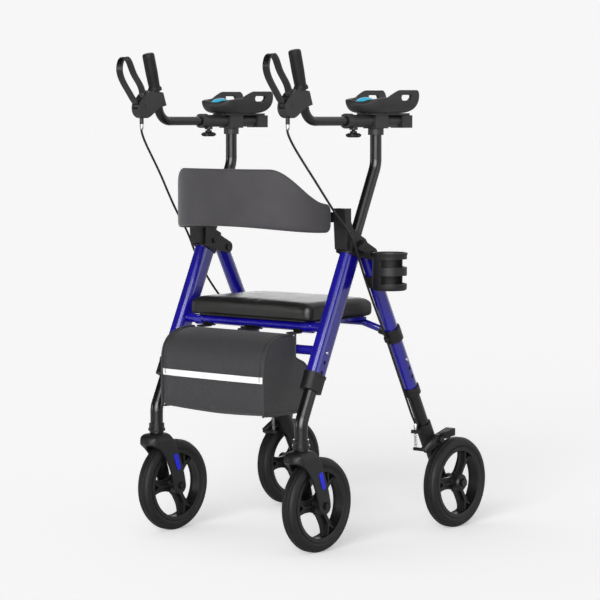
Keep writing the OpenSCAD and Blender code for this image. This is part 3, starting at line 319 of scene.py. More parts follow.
BLUE_PAINT = powder_coat("blue_powder_coat", "#0f0880", "#150c92", 0.22, 1.0)
BLACK_PAINT = powder_coat("satin_black_powder_coat", "#080809", "#0c0b0d", 0.28, 0.05)
BLACK_NYLON = moulded_plastic("moulded_black_nylon", "#0e0e0f", "#141315", 0.48, 1.4, 0.12)
# A lighter copy of the black nylon for the arm support and lever housing: painted brightening that
# stands in for the light these parts catch from the bright floor below.
ARM_NYLON = moulded_plastic("moulded_arm_nylon_painted_light", "#2b2a2c", "#313032", 0.48, 1.4, 0.12)
WHEEL_NYLON = moulded_plastic("moulded_wheel_nylon", "#0a0a0b", "#101011", 0.42, 1.8, 0.1)
TYRE_RUBBER = vulcanised_rubber("tyre_rubber", "#0e0d0e", "#161516", 0.58)
GRIP_RUBBER = vulcanised_rubber("grip_rubber", "#0c0c0c", "#131213", 0.55)
ZINC_STEEL = plated_steel("zinc_plated_steel", "#9c9ea2", "#c2c4c7", 0.3)
BLACK_STEEL = plated_steel("black_oxide_steel", "#2a292b", "#3b3a3c", 0.38)
PAD_COVER = knitted_cover("knitted_pad_cover", "#3a383b", "#403e41", 2.6)
BAG_CLOTH = woven_polyester("woven_bag_polyester", "#1b1a1c", "#403e41", 5.0)
BAG_BINDING = woven_polyester("woven_bag_binding", "#1c1b1d", "#343235", 3.0)
SEAT_VINYL = grained_vinyl("grained_seat_vinyl", "#121110", "#181715")
WHITE_TAPE = glass_bead_tape("glass_bead_tape")
CABLE_PVC = moulded_plastic("extruded_cable_pvc", "#131214", "#1c1b1d", 0.42, 2.0, 0.05)
PAD_FOAM = moulded_plastic("moulded_pad_foam", "#282729", "#2e2d2f", 0.55, 1.6, 0.1)
CYAN_GEL = moulded_plastic("moulded_cyan_gel", "#1fa6cc", "#2fb9dc", 0.38, 1.6, 0.08)
TRIM_ABS = moulded_plastic("moulded_blue_abs", "#1a20d2", "#242cea", 0.35, 1.6, 0.06)

NODE_FINISH = {  # the nodes that no piece below replaces
    "front_leg_tubes": BLUE_PAINT, "front_cross_tubes": BLUE_PAINT, "rear_leg_tubes": BLUE_PAINT,
    "rear_stretcher": BLUE_PAINT, "seat_frame": BLUE_PAINT,
    "front_lower_leg": BLACK_PAINT, "rear_lower_leg": BLACK_PAINT, "upright": BLACK_PAINT,
    "handle_tube": BLACK_PAINT, "brake_lever": BLACK_PAINT,
    "front_leg_collars": BLACK_NYLON, "hinge_brackets": BLACK_NYLON, "bag_hooks": BLACK_NYLON,
    "rear_collars": BLACK_NYLON, "cup_clamp": BLACK_NYLON, "brake_housing": BLACK_NYLON,
    "seat_pan": BLACK_NYLON, "sleeve_knob": BLACK_NYLON, "clamp_knob": BLACK_NYLON,
    "arm_support": ARM_NYLON, "lever_housing": ARM_NYLON,
    "front_rim": WHEEL_NYLON, "rear_rim": WHEEL_NYLON,
    "front_tyre": TYRE_RUBBER, "rear_tyre": TYRE_RUBBER, "grip": GRIP_RUBBER,
    "frame_bolts": BLACK_STEEL, "backrest_bar": BLACK_STEEL, "front_axle": BLACK_STEEL,
    "front_leg_button": ZINC_STEEL, "rear_leg_button": ZINC_STEEL,
}
for name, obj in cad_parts.items():
    finish = NODE_FINISH.get(name.removesuffix("_left").removesuffix("_right"))
    if finish is None:
        continue
    if not obj.material_slots:
        obj.data.materials.append(finish)
    for held in obj.material_slots:
        held.material = finish


# Making pieces

MERGE_DIST = 1e-6
CREASE = 40  # degrees at which faces meet in a sharp edge
SWELL_STEPS = 20


def smooth_shaded(mesh):
    mesh.polygons.foreach_set("use_smooth", [True] * len(mesh.polygons))


def piece(name, bm, finish, body=None, crease=CREASE):
    """Makes a bmesh a smooth-shaded piece that rides on a body."""
    bmesh.ops.remove_doubles(bm, verts=bm.verts, dist=MERGE_DIST)
    bmesh.ops.recalc_face_normals(bm, faces=bm.faces)
    mesh = bpy.data.meshes.new(name)
    bm.to_mesh(mesh)
    bm.free()
    return shown(name, mesh, finish, body, crease)


def shown(name, mesh, finish, body=None, crease=CREASE):
    """Shows a mesh as a piece with its finish and body."""
    mesh.name = name
    mesh.materials.clear()
    mesh.materials.append(finish)
    smooth_shaded(mesh)
    mesh.set_sharp_from_angle(angle=radians(crease))
    obj = bpy.data.objects.new(name, mesh)
    scene.collection.objects.link(obj)
    if body:
        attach(obj, body)
    return obj


def evaluated(obj):
    """The shape that an object's modifiers or its bevel make, as a new mesh."""
    graph = bpy.context.evaluated_depsgraph_get()
    graph.update()
    return bpy.data.meshes.new_from_object(obj.evaluated_get(graph))


def applied(obj):
    """Gives an object the shape that its modifiers make, as its own mesh."""
    mesh = evaluated(obj)
    obj.modifiers.clear()
    obj.data = mesh
    return mesh


def new_verts(made):
    """The vertices that an extrusion made."""
    return [g for g in made["geom"] if isinstance(g, bmesh.types.BMVert)]


def open_edges(bm):
    """The edges round the holes of a mesh."""
    return [e for e in bm.edges if e.is_boundary]


def quad_curve(a, b, c, n):
    """n + 1 points of a curve from a to c that leans towards b."""
    a, b, c = Vector(a), Vector(b), Vector(c)
    shares = [i / n for i in range(n + 1)]
    return [a * (1 - t) ** 2 + b * 2 * t * (1 - t) + c * t * t for t in shares]


def arc(middle, r, start, end, n):
    """n + 1 flat points of an arc, with its angles in degrees."""
    turns = [radians(start + (end - start) * i / n) for i in range(n + 1)]
    return [(middle[0] + r * cos(t), middle[1] + r * sin(t)) for t in turns]


def smooth_path(points, n):
    """A smooth open curve through all the points, with n steps between two of them."""
    points = [Vector(p) for p in points]
    last = len(points) - 1
    path = []
    for i in range(last):
        p, q, r, s = points[max(i - 1, 0)], points[i], points[i + 1], points[min(i + 2, last)]
        for t in (k / n for k in range(n)):
            path.append(0.5 * (2 * q + (r - p) * t + (2 * p - 5 * q + 4 * r - s) * t * t
                               + (3 * q - p - 3 * r + s) * t ** 3))
    return path + [points[last]]


def soft_step(a, b, x):
    """0 before a, 1 after b, and a soft step between them."""
    t = min(max((x - a) / (b - a), 0), 1)
    return t * t * (3 - 2 * t)


def cord_mesh(name, path, radius, closed=False, sides=4):
    """A round cord along a path, as a mesh. The path and the radius are in metres."""
    line = bpy.data.curves.new(name, "CURVE")
    line.dimensions = "3D"
    line.bevel_depth = radius
    line.bevel_resolution = sides
    line.use_fill_caps = True
    spline = line.splines.new("POLY")
    spline.points.add(len(path) - 1)
    for point, place in zip(spline.points, path):
        point.co = (*place, 1)
    spline.use_cyclic_u = closed
    holder = bpy.data.objects.new(name, line)
    scene.collection.objects.link(holder)
    mesh = evaluated(holder)
    bpy.data.objects.remove(holder)
    bpy.data.curves.remove(line)
    return mesh


def swell(obj, voxel, pressure, cap, held=None):
    """Remeshes a closed shell and lets it swell, no point by more than cap. In metres."""
    remesh = obj.modifiers.new("remesh", "REMESH")
    remesh.mode = "VOXEL"
    remesh.voxel_size = voxel
    before = applied(obj)
    places = [v.co.copy() for v in before.vertices]
    cloth = obj.modifiers.new("swell", "CLOTH")
    cloth.settings.use_pressure = True
    cloth.settings.uniform_pressure_force = pressure
    cloth.settings.effector_weights.gravity = 0
    cloth.settings.quality = 5
    if held:
        group = obj.vertex_groups.new(name="held")
        group.add([v.index for v in before.vertices if held(v.co)], 1.0, "REPLACE")
        cloth.settings.vertex_group_mass = "held"
    for step in range(1, SWELL_STEPS + 1):
        scene.frame_set(step)
    after = applied(obj)
    scene.frame_set(1)
    for v, place in zip(after.vertices, places):
        move = v.co - place
        if move.length > cap:
            v.co = place + move * (cap / move.length)


def refined(obj):
    """One subdivision, applied."""
    smooth = obj.modifiers.new("smooth", "SUBSURF")
    smooth.levels = smooth.render_levels = 1
    return applied(obj)


def turned(profile, foot, segments=24):
    """A profile of radius and height in millimetres, spun about an upright axis."""
    bm = bmesh.new()
    verts = [bm.verts.new((r * MM, 0, h * MM)) for r, h in profile]
    edges = [bm.edges.new(pair) for pair in zip(verts, verts[1:])]
    bmesh.ops.spin(bm, geom=verts + edges, cent=(0, 0, 0), axis=(0, 0, 1), dvec=(0, 0, 0),
                   angle=2 * pi, steps=segments, use_merge=True)
    bmesh.ops.translate(bm, vec=Vector(foot) * MM, verts=bm.verts)
    return bm


def prism(outline, axis, low, high):
    """A flat outline in the plane across an axis, drawn out along it, in millimetres."""
    k = "XYZ".index(axis)
    bm = bmesh.new()
    loop = []
    for p in outline:
        place = [p[0], p[1]]
        place.insert(k, low)
        loop.append(bm.verts.new(Vector(place) * MM))
    bm.faces.new(loop)
    made = bmesh.ops.extrude_face_region(bm, geom=bm.faces[:])
    way = Vector((0, 0, 0))
    way[k] = (high - low) * MM
    bmesh.ops.translate(bm, vec=way, verts=new_verts(made))
    return bm


def carved(obj, bm, operation):
    """Cuts a block from an object, adds it, or keeps only what lies in both."""
    tool = piece("tool", bm, obj.data.materials[0])
    cut = obj.modifiers.new("cut", "BOOLEAN")
    cut.operation = operation
    cut.object = tool
    cut.solver = "EXACT"
    applied(obj)
    bpy.data.objects.remove(tool)


def skinned(obj, voxel_mm, rounds):
    """Gives a carved block the soft round edges of a moulding."""
    skin = obj.modifiers.new("skin", "REMESH")
    skin.mode = "VOXEL"
    skin.voxel_size = voxel_mm * MM
    soft = obj.modifiers.new("soft", "SMOOTH")
    soft.factor = 0.5
    soft.iterations = rounds
    smooth_shaded(applied(obj))


# Seat cushion: vinyl pulled over foam and held under the pan

CUSHION = {
    "half": (SEAT_HALF[0] + 4, SEAT_HALF[1] - 1), "low_z": SEAT_Z - 2, "height": 33.5,
    "corner_r": 14, "rim_r": 11, "crown": 4.5, "drawn_in": 3.5, "gather": 0.77, "gathers": 36,
    "side_h": 22, "flatness": 2.4,
    "edge": 0.85, "corner_x": (0.72, 0.95), "corner_y": (0.66, 0.92),  # shares of SEAT_HALF
}


def make_seat():
    (half_x, half_y), low, height = CUSHION["half"], CUSHION["low_z"], CUSHION["height"]
    bm = bmesh.new()
    bmesh.ops.create_cube(bm, size=1)
    bmesh.ops.scale(bm, vec=Vector((2 * half_x, 2 * half_y, height)) * MM, verts=bm.verts)
    bmesh.ops.translate(bm, vec=Vector((0, SEAT_MID_Y, low + height / 2)) * MM, verts=bm.verts)
    front = [v for v in bm.verts if v.co.y < SEAT_MID_Y * MM]
    bmesh.ops.scale(bm, vec=(SEAT_FRONT_HALF_W / half_x, 1, 1), verts=front)
    corners = [e for e in bm.edges if abs(e.verts[0].co.z - e.verts[1].co.z) > height / 2 * MM]
    bmesh.ops.bevel(bm, geom=corners, offset=CUSHION["corner_r"] * MM, affect="EDGES", segments=5,
                    profile=0.5, material=-1)
    rims = [e for e in bm.edges if all(v.co.z > (low + height - 2) * MM for v in e.verts)]
    bmesh.ops.bevel(bm, geom=rims, offset=CUSHION["rim_r"] * MM, affect="EDGES", segments=4,
                    profile=0.5, material=-1)
    obj = piece("seat_cushion_cover", bm, SEAT_VINYL, crease=180)
    swell(obj, voxel=0.005, pressure=4.0, cap=0.006)
    mesh = refined(obj)
    for v in mesh.vertices:
        x, y = v.co.x / MM, v.co.y / MM - SEAT_MID_Y
        u, w = abs(x) / SEAT_HALF[0], abs(y) / SEAT_HALF[1]
        way_x, way_y = copysign(MM, x), copysign(MM, y)
        top = soft_step(SEAT_Z + CUSHION["side_h"], SEAT_Z + height, v.co.z / MM)
        rise = (1 - min(u, 1) ** CUSHION["flatness"]) * (1 - min(w, 1) ** CUSHION["flatness"])
        v.co.z += top * CUSHION["crown"] * rise * MM
        drawn = CUSHION["drawn_in"] * (1 - top)
        v.co.x -= drawn * way_x * soft_step(CUSHION["edge"], 1, u) * (1 - w ** 2)
        v.co.y -= drawn * way_y * soft_step(CUSHION["edge"], 1, w) * (1 - u ** 2)
        corner = soft_step(*CUSHION["corner_x"], u) * soft_step(*CUSHION["corner_y"], w)
        fold = CUSHION["gather"] * sin(CUSHION["gathers"] * atan2(y, x))
        gather = fold * corner * (1 - 0.6 * top)
        v.co.x += gather * way_x
        v.co.y += gather * way_y
        v.co.z = max(v.co.z, low * MM)
    smooth_shaded(mesh)
    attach(obj, "seat")
    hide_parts("seat_cushion")


# Backrest: a bowed foam band in a knitted cover, sewn along its edges

BACK = {
    "low_z": 675, "arch": 13, "end_top_z": 737, "top_z": 811, "rise": (radians(4), radians(55)),
    "end": radians(1.2), "corner_r": 14, "edge_share": 0.55,
}


def bow(half_w, reach, t):
    """Point of the bowed plan at angle t from the left end, in millimetres."""
    e = 2 / BOW_ROUNDNESS
    x = half_w * copysign(abs(cos(t)) ** e, cos(t))
    return Vector((x, BOW_END_Y - reach * abs(sin(t)) ** e, 0))


def back_edges(t):
    """Height of the lower and the upper edge of the backrest at angle t."""
    side = min(t, pi - t)
    low = BACK["low_z"] + BACK["arch"] * sin(t) ** 2
    top = BACK["end_top_z"] + (BACK["top_z"] - BACK["end_top_z"]) * soft_step(*BACK["rise"], side)
    end = bow(BOW_HALF_W, BOW_REACH, BACK["end"])
    r = BACK["corner_r"]
    near = max(r - (bow(BOW_HALF_W, BOW_REACH, side) - end).length, 0)
    inset = r - sqrt(max(r ** 2 - near ** 2, 0))
    return low + inset, top - inset


def back_point(u, v, lift):
    """Point at share u of the backrest's length and v of its height, lifted off its middle."""
    t = BACK["end"] + (pi - 2 * BACK["end"]) * u
    mid = bow(BOW_HALF_W - BACK_T / 2, BOW_REACH - BACK_T / 2, t)
    out = (bow(BOW_HALF_W, BOW_REACH, t) - mid).normalized()
    low, top = back_edges(t)
    place = mid + out * lift
    return Vector((place.x, place.y, low + (top - low) * v)) * MM


def make_backrest():
    round_ends, round_edges = 22, 9  # the rounding takes 1/22 of the length and 1/9 of the height
    flat = BACK["edge_share"]
    bm = bmesh.new()
    bmesh.ops.create_grid(bm, x_segments=96, y_segments=16, size=0.5)
    made = bmesh.ops.extrude_face_region(bm, geom=bm.faces[:])
    outer = set(new_verts(made))
    for v in bm.verts:
        u, w = v.co.x + 0.5, v.co.y + 0.5
        edge = min(min(u, 1 - u) * round_ends, min(w, 1 - w) * round_edges, 1)
        crown = BACK_T / 2 * (flat + (1 - flat) * sqrt(1 - (1 - edge) ** 2))
        v.co = back_point(u, w, crown if v in outer else -crown)
    obj = piece("backrest_cover", bm, PAD_COVER, "main_frame", crease=180)
    smooth_shaded(refined(obj))
    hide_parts("backrest_pad")


# Bag: a sewn shell that hangs from the hinge tube

BAG = {
    "front": -317, "rear": -170, "low": 293, "top": 461, "seam_w": 3,
    "sag": 3.0, "sag_z": (300, 360),
}
HEM = {
    "x": 136.5, "mid": (-245, 375), "reach": 200, "from": -8, "sweep": 100, "steps": 40,
    "r": 1.1, "lift": 0.4,
}
TAPE = {"w": 293, "h": 13.5, "z": 368.5, "t": 0.7, "lift": 0.3, "cast_y": -500}
BINDING = {"inset": 2.2, "r": 2.4}


def bag_outline():
    """Side outline of the bag, as Y and Z in millimetres."""
    front, rear, low, top = BAG["front"], BAG["rear"], BAG["low"], BAG["top"]
    bar_y, bar_z = CROSSBAR[0] - CROSSBAR_R - 3, CROSSBAR[1]
    return (quad_curve((front, low + 100), (front, top - 4), (front + 75, top - 1), 10)
            + [Vector((bar_y - 2, top))]
            + quad_curve((bar_y, top - 4), (bar_y, bar_z - 8), (bar_y, bar_z - 16), 2)
            + quad_curve((bar_y + 14, bar_z - 24), (rear - 2, bar_z - 34), (rear, low + 74), 6)
            + quad_curve((rear, low + 60), (rear - 4, low + 16), (rear - 28, low), 6)
            + [Vector((front + 8, low)), Vector((front, low + 8))])


def make_bag():
    half = BAG_HALF_W - 1

    def seam(co):
        return abs(co.x) > (half - BAG["seam_w"]) * MM

    obj = piece("bag_shell", prism(bag_outline(), "X", -half, half), BAG_CLOTH, crease=180)
    swell(obj, voxel=0.0055, pressure=2.0, cap=0.006, held=seam)
    mesh = refined(obj)
    for v in mesh.vertices:
        slack = 1 - soft_step(*BAG["sag_z"], v.co.z / MM)
        v.co.z -= BAG["sag"] * (1 - (v.co.x / MM / half) ** 2) * slack * MM
    smooth_shaded(mesh)
    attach(obj, "main_frame")
    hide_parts("bag")
    return obj


def surface_finder(obj):
    """A function that gives where a ray meets an object's surface, and the normal there."""
    mesh = obj.data
    tree = BVHTree.FromPolygons([v.co for v in mesh.vertices], [p.vertices for p in mesh.polygons])

    def find(start, way):
        place, normal, _, _ = tree.ray_cast(Vector(start), Vector(way))
        return place, normal

    return find


def make_bag_trim(bag):
    """Bindings along the side seams, hem stitching on the cover and the reflective tape."""
    find = surface_finder(bag)
    for side, sign in SIDES:
        x = sign * (BAG_HALF_W - BINDING["inset"])
        edge = [Vector((x, p.x, p.y)) * MM for p in bag_outline()]
        loop = smooth_path(edge + edge[:1], 3)[:-1]
        mesh = cord_mesh(f"bag_binding_{side}", loop, BINDING["r"] * MM, closed=True, sides=3)
        shown(f"bag_binding_{side}", mesh, BAG_BINDING, "main_frame", crease=60)
        hem = []
        for k in range(HEM["steps"] + 1):
            turn = radians(HEM["from"] + HEM["sweep"] * k / HEM["steps"])
            out = Vector((0, -cos(turn), sin(turn)))
            start = Vector((sign * HEM["x"], *HEM["mid"])) + out * HEM["reach"]
            place, normal = find(start * MM, -out)
            if place:
                hem.append(place + normal * HEM["lift"] * MM)
        mesh = cord_mesh(f"bag_hem_{side}", hem, HEM["r"] * MM, sides=2)
        shown(f"bag_hem_{side}", mesh, BAG_BINDING, "main_frame", crease=60)
    bm = bmesh.new()
    bmesh.ops.create_grid(bm, x_segments=72, y_segments=3, size=0.5)
    for v in bm.verts:
        start = Vector((v.co.x * TAPE["w"], TAPE["cast_y"], TAPE["z"] + v.co.y * TAPE["h"]))
        v.co = find(start * MM, (0, 1, 0))[0] + Vector((0, -TAPE["lift"] * MM, 0))
    bmesh.ops.recalc_face_normals(bm, faces=bm.faces)
    made = bmesh.ops.extrude_face_region(bm, geom=bm.faces[:])
    bmesh.ops.translate(bm, vec=(0, -TAPE["t"] * MM, 0), verts=new_verts(made))
    piece("bag_reflective_tape", bm, WHITE_TAPE, "main_frame")


# Forearm rests: skinned foam troughs with a round nose, a strap slot in each wing and a gel pad

PAD = {"nose_y": -48, "rear_y": 67, "half_w": 50, "low_z": 929, "floor_z": 943, "rim_z": 990}
STRAP_SLOT = {"front_y": 11, "rear_y": 35, "z": 962, "r": 6}
GEL_PAD = {"y": -56, "half_w": 27, "half_l": 25, "low_z": 942, "high": 21, "fullness": 0.8}


def pad_section():
    """Radius and height round the wall of the trough, from its keel to its floor."""
    half, low, floor, rim = PAD["half_w"], PAD["low_z"], PAD["floor_z"], PAD["rim_z"]
    inner = half - 4
    hull = quad_curve((21, low), (half, low), (half, low + 33), 8)
    trough = quad_curve((inner, rim), (inner, floor + 1), (0, floor), 10)
    return [(0, low)] + hull + [(half, rim)] + trough


def pad_side():
    """Outline of the rest from the side, as y and z: a low nose, a dip and a high wing behind."""
    nose = [(-110, 947)] + quad_curve((-94, 947), (-86, 949), (-78, 957.5), 5) + [(-62, 960)]
    wing = quad_curve((-34, 963), (-8, 978), (2, 978.5), 7) + [(61, 979), (66, 974)]
    heel = quad_curve((PAD["rear_y"], 966), (63, 931), (33, 928.5), 9) + [(-110, 928.5)]
    return nose + wing + heel


def make_forearm_pad(side, sign):
    x = sign * SIDE_X
    bm = bmesh.new()
    rim = [bm.verts.new((r * MM, 0, z * MM)) for r, z in pad_section()]
    wall = [bm.edges.new(pair) for pair in zip(rim, rim[1:])]
    bmesh.ops.spin(bm, geom=rim + wall, cent=(0, 0, 0), axis=(0, 0, -1), dvec=(0, 0, 0),
                   angle=pi, steps=28)
    bmesh.ops.remove_doubles(bm, verts=bm.verts, dist=MERGE_DIST)
    made = bmesh.ops.extrude_edge_only(bm, edges=open_edges(bm))
    bmesh.ops.translate(bm, vec=(0, (PAD["rear_y"] - PAD["nose_y"]) * MM, 0), verts=new_verts(made))
    bmesh.ops.remove_doubles(bm, verts=bm.verts, dist=MERGE_DIST)
    bmesh.ops.holes_fill(bm, edges=open_edges(bm))
    bmesh.ops.translate(bm, vec=Vector((x, PAD["nose_y"], 0)) * MM, verts=bm.verts)
    obj = piece(f"forearm_pad_foam_{side}", bm, PAD_FOAM, f"arm_{side}",
                crease=180)

    far = PAD["half_w"] + 20
    carved(obj, prism(pad_side(), "X", x - far, x + far), "INTERSECT")
    z, r = STRAP_SLOT["z"], STRAP_SLOT["r"]
    slot = arc((STRAP_SLOT["rear_y"], z), r, -90, 90, 8)
    slot += arc((STRAP_SLOT["front_y"], z), r, 90, 270, 8)
    carved(obj, prism(slot, "X", x - far, x + far), "DIFFERENCE")
    skinned(obj, voxel_mm=1.2, rounds=9)
    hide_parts(f"forearm_pad_{side}")

    bm = bmesh.new()
    bmesh.ops.create_uvsphere(bm, u_segments=40, v_segments=24, radius=1)
    bmesh.ops.bisect_plane(bm, geom=bm.verts[:] + bm.edges[:] + bm.faces[:], plane_co=(0, 0, 0),
                           plane_no=(0, 0, 1), clear_inner=True)
    for v in bm.verts:
        v.co.z = abs(v.co.z) ** GEL_PAD["fullness"]
    size = Vector((GEL_PAD["half_w"], GEL_PAD["half_l"], GEL_PAD["high"]))
    bmesh.ops.scale(bm, vec=size * MM, verts=bm.verts)
    bmesh.ops.translate(bm, vec=Vector((x, GEL_PAD["y"], GEL_PAD["low_z"])) * MM, verts=bm.verts)
    bmesh.ops.holes_fill(bm, edges=open_edges(bm))
    piece(f"pad_accent_{side}", bm, CYAN_GEL, f"arm_{side}", crease=50)


# Cup holder: a thin moulded cup with two rows of long windows round its outer side

CUP = {
    "place": (285, -66, 552), "r": 37, "h": 81, "wall": 3, "drain_r": 12,
    "window_h": 17, "window_z": (23.5, 58.5), "window_from": -84, "window_sweep": 164,
}


def make_cup_holder():
    r, h, wall, drain = CUP["r"], CUP["h"], CUP["wall"], CUP["drain_r"]
    outside = [(drain, 0), (r - 4, 0), (r - 1.2, 1.6), (r, 5), (r, h - 7)]
    lip = [(r + 1.2, h - 4), (r + 1.2, h - 0.8), (r + 0.4, h)]
    inside = [(r - wall, h), (r - wall, wall), (drain, wall), (drain, 0)]
    bm = turned(outside + lip + inside, CUP["place"], 72)
    obj = piece("cup_holder_moulding", bm, BLACK_NYLON, "rear_frame")
    stand = Matrix.Rotation(pi / 2, 3, "X")
    turn = Matrix.Rotation(radians(CUP["window_from"]), 3, "Z")
    for z in CUP["window_z"]:
        slot = bmesh.new()
        bmesh.ops.create_grid(slot, x_segments=1, y_segments=1, size=0.5)
        bmesh.ops.scale(slot, vec=(r * MM, CUP["window_h"] * MM, 1), verts=slot.verts)
        bmesh.ops.rotate(slot, cent=(0, 0, 0), matrix=stand, verts=slot.verts)
        bmesh.ops.translate(slot, vec=(r * MM, 0, z * MM), verts=slot.verts)
        bmesh.ops.rotate(slot, cent=(0, 0, 0), matrix=turn, verts=slot.verts)
        bmesh.ops.spin(slot, geom=slot.faces[:], cent=(0, 0, 0), axis=(0, 0, 1), dvec=(0, 0, 0),
                       angle=radians(CUP["window_sweep"]), steps=40)
        bmesh.ops.translate(slot, vec=Vector(CUP["place"]) * MM, verts=slot.verts)
        carved(obj, slot, "DIFFERENCE")
    obj.data.set_sharp_from_angle(angle=radians(CREASE))
    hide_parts("cup_holder")


# Caster forks: a moulded hood in front of the stem that sweeps back down to the axle

FORK = {
    "half_w": 27, "gap": 21, "top_z": 223, "shoulder_r": 19, "end_r": 18.5, "tunnel_z": 197,
    "tyre_gap": 4.5, "dome_r": 37, "rear_y": FRONT_AXLE_Y + 60,
}
FORK_INSET = {
    "y": FRONT_AXLE_Y - 13, "z": 156, "tilt": 20, "size": (2.0, 11.6, 39.6), "corner_r": 5.7,
}


def fork_side():
    """Outline of the fork from the side, as y and z."""
    top, r = FORK["top_z"], FORK["end_r"]
    end = (FRONT_AXLE_Y - 2.5, WHEEL_R - 1)
    hood = quad_curve((STEM_Y - 20, top), (STEM_Y - 43, top - 1), (STEM_Y - 40.5, top - 19), 8)
    lip = quad_curve((STEM_Y - 40.5, top - 20), (STEM_Y - 40, top - 25), (STEM_Y - 36, top - 24), 3)
    under = quad_curve((STEM_Y - 34, top - 25), (STEM_Y + 8, top - 39),
                       (end[0] - r, end[1] + 1), 12)
    back = quad_curve((end[0] + r, end[1] + 1), (end[0] + 10, WHEEL_R + 55),
                      (STEM_Y + 20, top - 2), 12)
    return hood + lip + under + arc(end, r, 180, 360, 16) + back + [(STEM_Y + 17, top)]


def fork_front(x):
    """Outline of the fork from the front, as x and z: straight sides under round shoulders."""
    half, r = FORK["half_w"], FORK["shoulder_r"]
    z = FORK["top_z"] - r
    shoulders = arc((x + half - r, z), r, 0, 90, 8) + arc((x - half + r, z), r, 90, 180, 8)
    return [(x - half, WHEEL_R - 40), (x + half, WHEEL_R - 40)] + shoulders


def fork_plan(x):
    """Outline of the fork from above, as x and y: a round front and straight sides."""
    half = FORK["half_w"] + 0.5
    rear = [(x + half, FORK["rear_y"]), (x - half, FORK["rear_y"])]
    return arc((x, STEM_Y - 13.5), half, 180, 360, 20) + rear


def fork_dome(x):
    """A dome over the stem, open to the back: what it doesn't cover is cut off the hood."""
    r, top, rear = FORK["dome_r"], FORK["top_z"], FORK["rear_y"]
    crown = quad_curve((r, top - 24), (r - 0.5, top), (15, top + 0.1), 8)
    cap = [(0, 40), (r, 40)] + crown + [(0, top + 0.1)]
    dome = piece("dome", turned(cap, (x, STEM_Y - 3, 0), 64), BLACK_NYLON)
    behind = [(x - 60, STEM_Y), (x + 60, STEM_Y), (x + 60, rear), (x - 60, rear)]
    carved(dome, prism(behind, "Z", 20, 2 * top), "UNION")
    bm = bmesh.new()
    bm.from_mesh(dome.data)
    bpy.data.objects.remove(dome)
    return bm


def make_fork(side, sign):
    x, half, gap, top = sign * SIDE_X, FORK["half_w"], FORK["gap"], FORK["top_z"]
    block = prism(fork_side(), "X", x - half, x + half)
    obj = piece(f"caster_fork_moulding_{side}", block, BLACK_NYLON, f"caster_{side}")
    carved(obj, prism(fork_front(x), "Y", STEM_Y - 60, FORK["rear_y"]), "INTERSECT")
    carved(obj, prism(fork_plan(x), "Z", 0, 2 * top), "INTERSECT")
    carved(obj, fork_dome(x), "INTERSECT")
    tyre = arc((FRONT_AXLE_Y, WHEEL_R), WHEEL_R + FORK["tyre_gap"], 0, 354, 59)
    carved(obj, prism(tyre, "X", x - gap, x + gap), "DIFFERENCE")
    tunnel = arc((x, FORK["tunnel_z"] - gap), gap, 0, 180, 16) + [(x - gap, 0), (x + gap, 0)]
    carved(obj, prism(tunnel, "Y", STEM_Y - 70, FRONT_AXLE_Y), "DIFFERENCE")
    skinned(obj, voxel_mm=1.1, rounds=18)
    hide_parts(f"caster_fork_{side}")
    washer = [(0, top - 5), (15, top - 5), (15, top + 2.9)]
    bolt = [(5, top + 2.9), (5, top + 38), (0, top + 38)]
    stem = turned(washer + bolt, (x, STEM_Y, 0))
    piece(f"caster_stem_{side}", stem, BLACK_STEEL, f"caster_{side}")


def make_fork_inset(side, sign):
    """A blue stadium-shaped plate on each cheek of a fork."""
    tilt = Matrix.Rotation(radians(FORK_INSET["tilt"]), 4, "X")
    bm = bmesh.new()
    for face in (1, -1):
        part = bmesh.new()
        bmesh.ops.create_cube(part, size=1)
        bmesh.ops.scale(part, vec=Vector(FORK_INSET["size"]) * MM, verts=part.verts)
        around = [e for e in part.edges if abs(e.verts[0].co.x - e.verts[1].co.x) > MM]
        bmesh.ops.bevel(part, geom=around, offset=FORK_INSET["corner_r"] * MM, affect="EDGES",
                        segments=8, profile=0.5, material=-1)
        x = sign * SIDE_X + face * FORK["half_w"]
        place = Matrix.Translation(Vector((x, FORK_INSET["y"], FORK_INSET["z"])) * MM)
        bmesh.ops.transform(part, matrix=place @ tilt, verts=part.verts)
        held = bpy.data.meshes.new("inset")
        part.to_mesh(held)
        part.free()
        bm.from_mesh(held)
        bpy.data.meshes.remove(held)
    piece(f"fork_inset_{side}", bm, TRIM_ABS, f"caster_{side}", crease=50)


# Brake arms: the shoe ends above the crown of the tyre

SHOE_END_Y = 214
SHOE_END_X = 252


def make_brake_arm(side, sign):
    bm = bmesh.new()
    bm.from_mesh(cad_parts[f"brake_arm_{side}"].data)
    bmesh.ops.remove_doubles(bm, verts=bm.verts, dist=1e-5)
    ends = (((0, SHOE_END_Y * MM, 0), (0, 1, 0)), ((sign * SHOE_END_X * MM, 0, 0), (sign, 0, 0)))
    for place, way in ends:
        bmesh.ops.bisect_plane(bm, geom=bm.verts[:] + bm.edges[:] + bm.faces[:], plane_co=place,
                               plane_no=way, clear_outer=True)
        bmesh.ops.holes_fill(bm, edges=open_edges(bm))
    obj = piece(f"brake_arm_moulding_{side}", bm, BLACK_NYLON, f"brake_{side}")
    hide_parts(f"brake_arm_{side}")


# Cable ends: an adjuster under each lever, and a ferrule, bare wire and spring at each brake

ADJUSTER_Y = -312
FERRULE_Y = 121
WIRE = {"top": (FERRULE_Y, 219), "eye": (123.6, 186), "r": 0.8}
SPRING = {"turns": 7, "steps": 14, "from": 0.04, "share": 0.86, "r": 3.6, "wire_r": 0.55}


